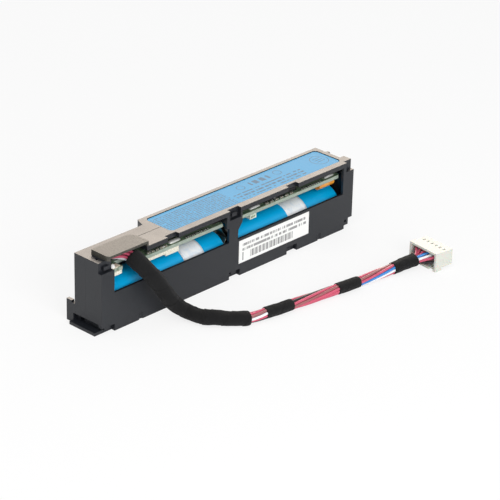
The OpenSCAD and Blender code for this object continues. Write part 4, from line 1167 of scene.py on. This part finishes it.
class PACK_OT_stage(bpy.types.Operator):
    """Makes the plain pale floor and the soft studio light"""
    bl_idname = "pack.stage"
    bl_label = "Stage"

    def execute(self, context):
        scene = context.scene
        bm = bmesh.new()
        bmesh.ops.create_grid(bm, x_segments=1, y_segments=1, size=4)
        for v in bm.verts:
            v.co.z = -0.00005
        floor = bpy.data.objects.new("floor", mesh_from(bm, "floor"))
        scene.collection.objects.link(floor)
        mat, tree, shader, coords = start_material("pale_floor", Roughness=0.9,
                                                   Specular_IOR_Level=0.1)
        shader.inputs["Base Color"].default_value = (0.93, 0.93, 0.93, 1)
        # the camera sees the floor lifted most of the way to white; the shadow stays
        seen = put(tree, "ShaderNodeLightPath").outputs
        clear = put(tree, "ShaderNodeMath", {0: seen["Is Camera Ray"], 1: 0.78},
                    operation="MULTIPLY")
        glow = put(tree, "ShaderNodeEmission", {0: (1, 1, 1, 1), 1: 1.0})
        both = put(tree, "ShaderNodeMixShader", {0: clear.outputs[0], 1: shader.outputs[0],
                   2: glow.outputs[0]})
        out = next(n for n in tree.nodes if n.bl_idname == "ShaderNodeOutputMaterial")
        tree.links.new(both.outputs[0], out.inputs["Surface"])
        floor.data.materials.append(mat)
        world = bpy.data.worlds.new("studio")
        scene.world = world
        world.use_nodes = True
        tree = world.node_tree
        tree.nodes.clear()
        path = put(tree, "ShaderNodeLightPath").outputs
        seen = put(tree, "ShaderNodeMath", {0: path["Is Camera Ray"],
                   1: path["Is Transmission Ray"]}, operation="MAXIMUM")
        soft = put(tree, "ShaderNodeBackground", {0: (0.96, 0.98, 1.0, 1), 1: 0.6})
        white = put(tree, "ShaderNodeBackground", {0: (1, 1, 1, 1), 1: 1.0})
        both = put(tree, "ShaderNodeMixShader", {0: seen.outputs[0], 1: soft.outputs[0],
                   2: white.outputs[0]})
        put(tree, "ShaderNodeOutputWorld", {0: both.outputs[0]})
        for name, place, size, power, tint, gloss_only in (
                ("key_light", (-0.5, -0.35, 0.9), 0.7, 2.6, "#fff8f0", False),
                ("rear_light", (0.62, 0.62, 0.5), 0.9, 16.0, "#fff0e0", True),
                ("front_light", (-0.3, -0.9, 0.42), 0.6, 6.5, "#ffffff", False)):
            lamp = bpy.data.lights.new(name, "AREA")
            lamp.shape = "SQUARE"
            lamp.size = size
            lamp.energy = power
            lamp.color = linear(tint)
            obj = bpy.data.objects.new(name, lamp)
            obj.location = place
            obj.rotation_euler = (Vector((0, -0.01, 0.01)) - Vector(place)).to_track_quat(
                "-Z", "Y").to_euler()
            obj.visible_diffuse = not gloss_only
            scene.collection.objects.link(obj)
        scene.view_settings.view_transform = "Standard"
        return {"FINISHED"}


class PACK_PT_panel(bpy.types.Panel):
    bl_label = "Raid battery module"
    bl_idname = "PACK_PT_panel"
    bl_space_type = "VIEW_3D"
    bl_region_type = "UI"
    bl_category = "Battery"

    def draw(self, context):
        for name in ("battery_lead", "battery_housing", "battery_inside"):
            group = getattr(context.scene, name)
            box = self.layout.box()
            for key in group.__annotations__:
                box.prop(group, key)
        for step in STEPS:
            self.layout.operator(step.bl_idname)


STEPS = (PACK_OT_camera, PACK_OT_lead_wires, PACK_OT_lead_ends, PACK_OT_cloth, PACK_OT_plug,
         PACK_OT_housing, PACK_OT_labels, PACK_OT_cells, PACK_OT_straps, PACK_OT_board,
         PACK_OT_small_parts, PACK_OT_stage)
GROUPS = (BatteryLeadSettings, BatteryHousingSettings, BatteryInsideSettings)


def register():
    for cls in GROUPS + STEPS + (PACK_PT_panel,):
        bpy.utils.register_class(cls)
    bpy.types.Scene.battery_lead = bpy.props.PointerProperty(type=BatteryLeadSettings)
    bpy.types.Scene.battery_housing = bpy.props.PointerProperty(type=BatteryHousingSettings)
    bpy.types.Scene.battery_inside = bpy.props.PointerProperty(type=BatteryInsideSettings)


def unregister():
    del bpy.types.Scene.battery_inside
    del bpy.types.Scene.battery_housing
    del bpy.types.Scene.battery_lead
    for cls in reversed(GROUPS + STEPS + (PACK_PT_panel,)):
        bpy.utils.unregister_class(cls)


def main():
    register()
    for step in STEPS:
        group, name = step.bl_idname.split(".")
        getattr(getattr(bpy.ops, group), name)()


if __name__ == "__main__":
    main()
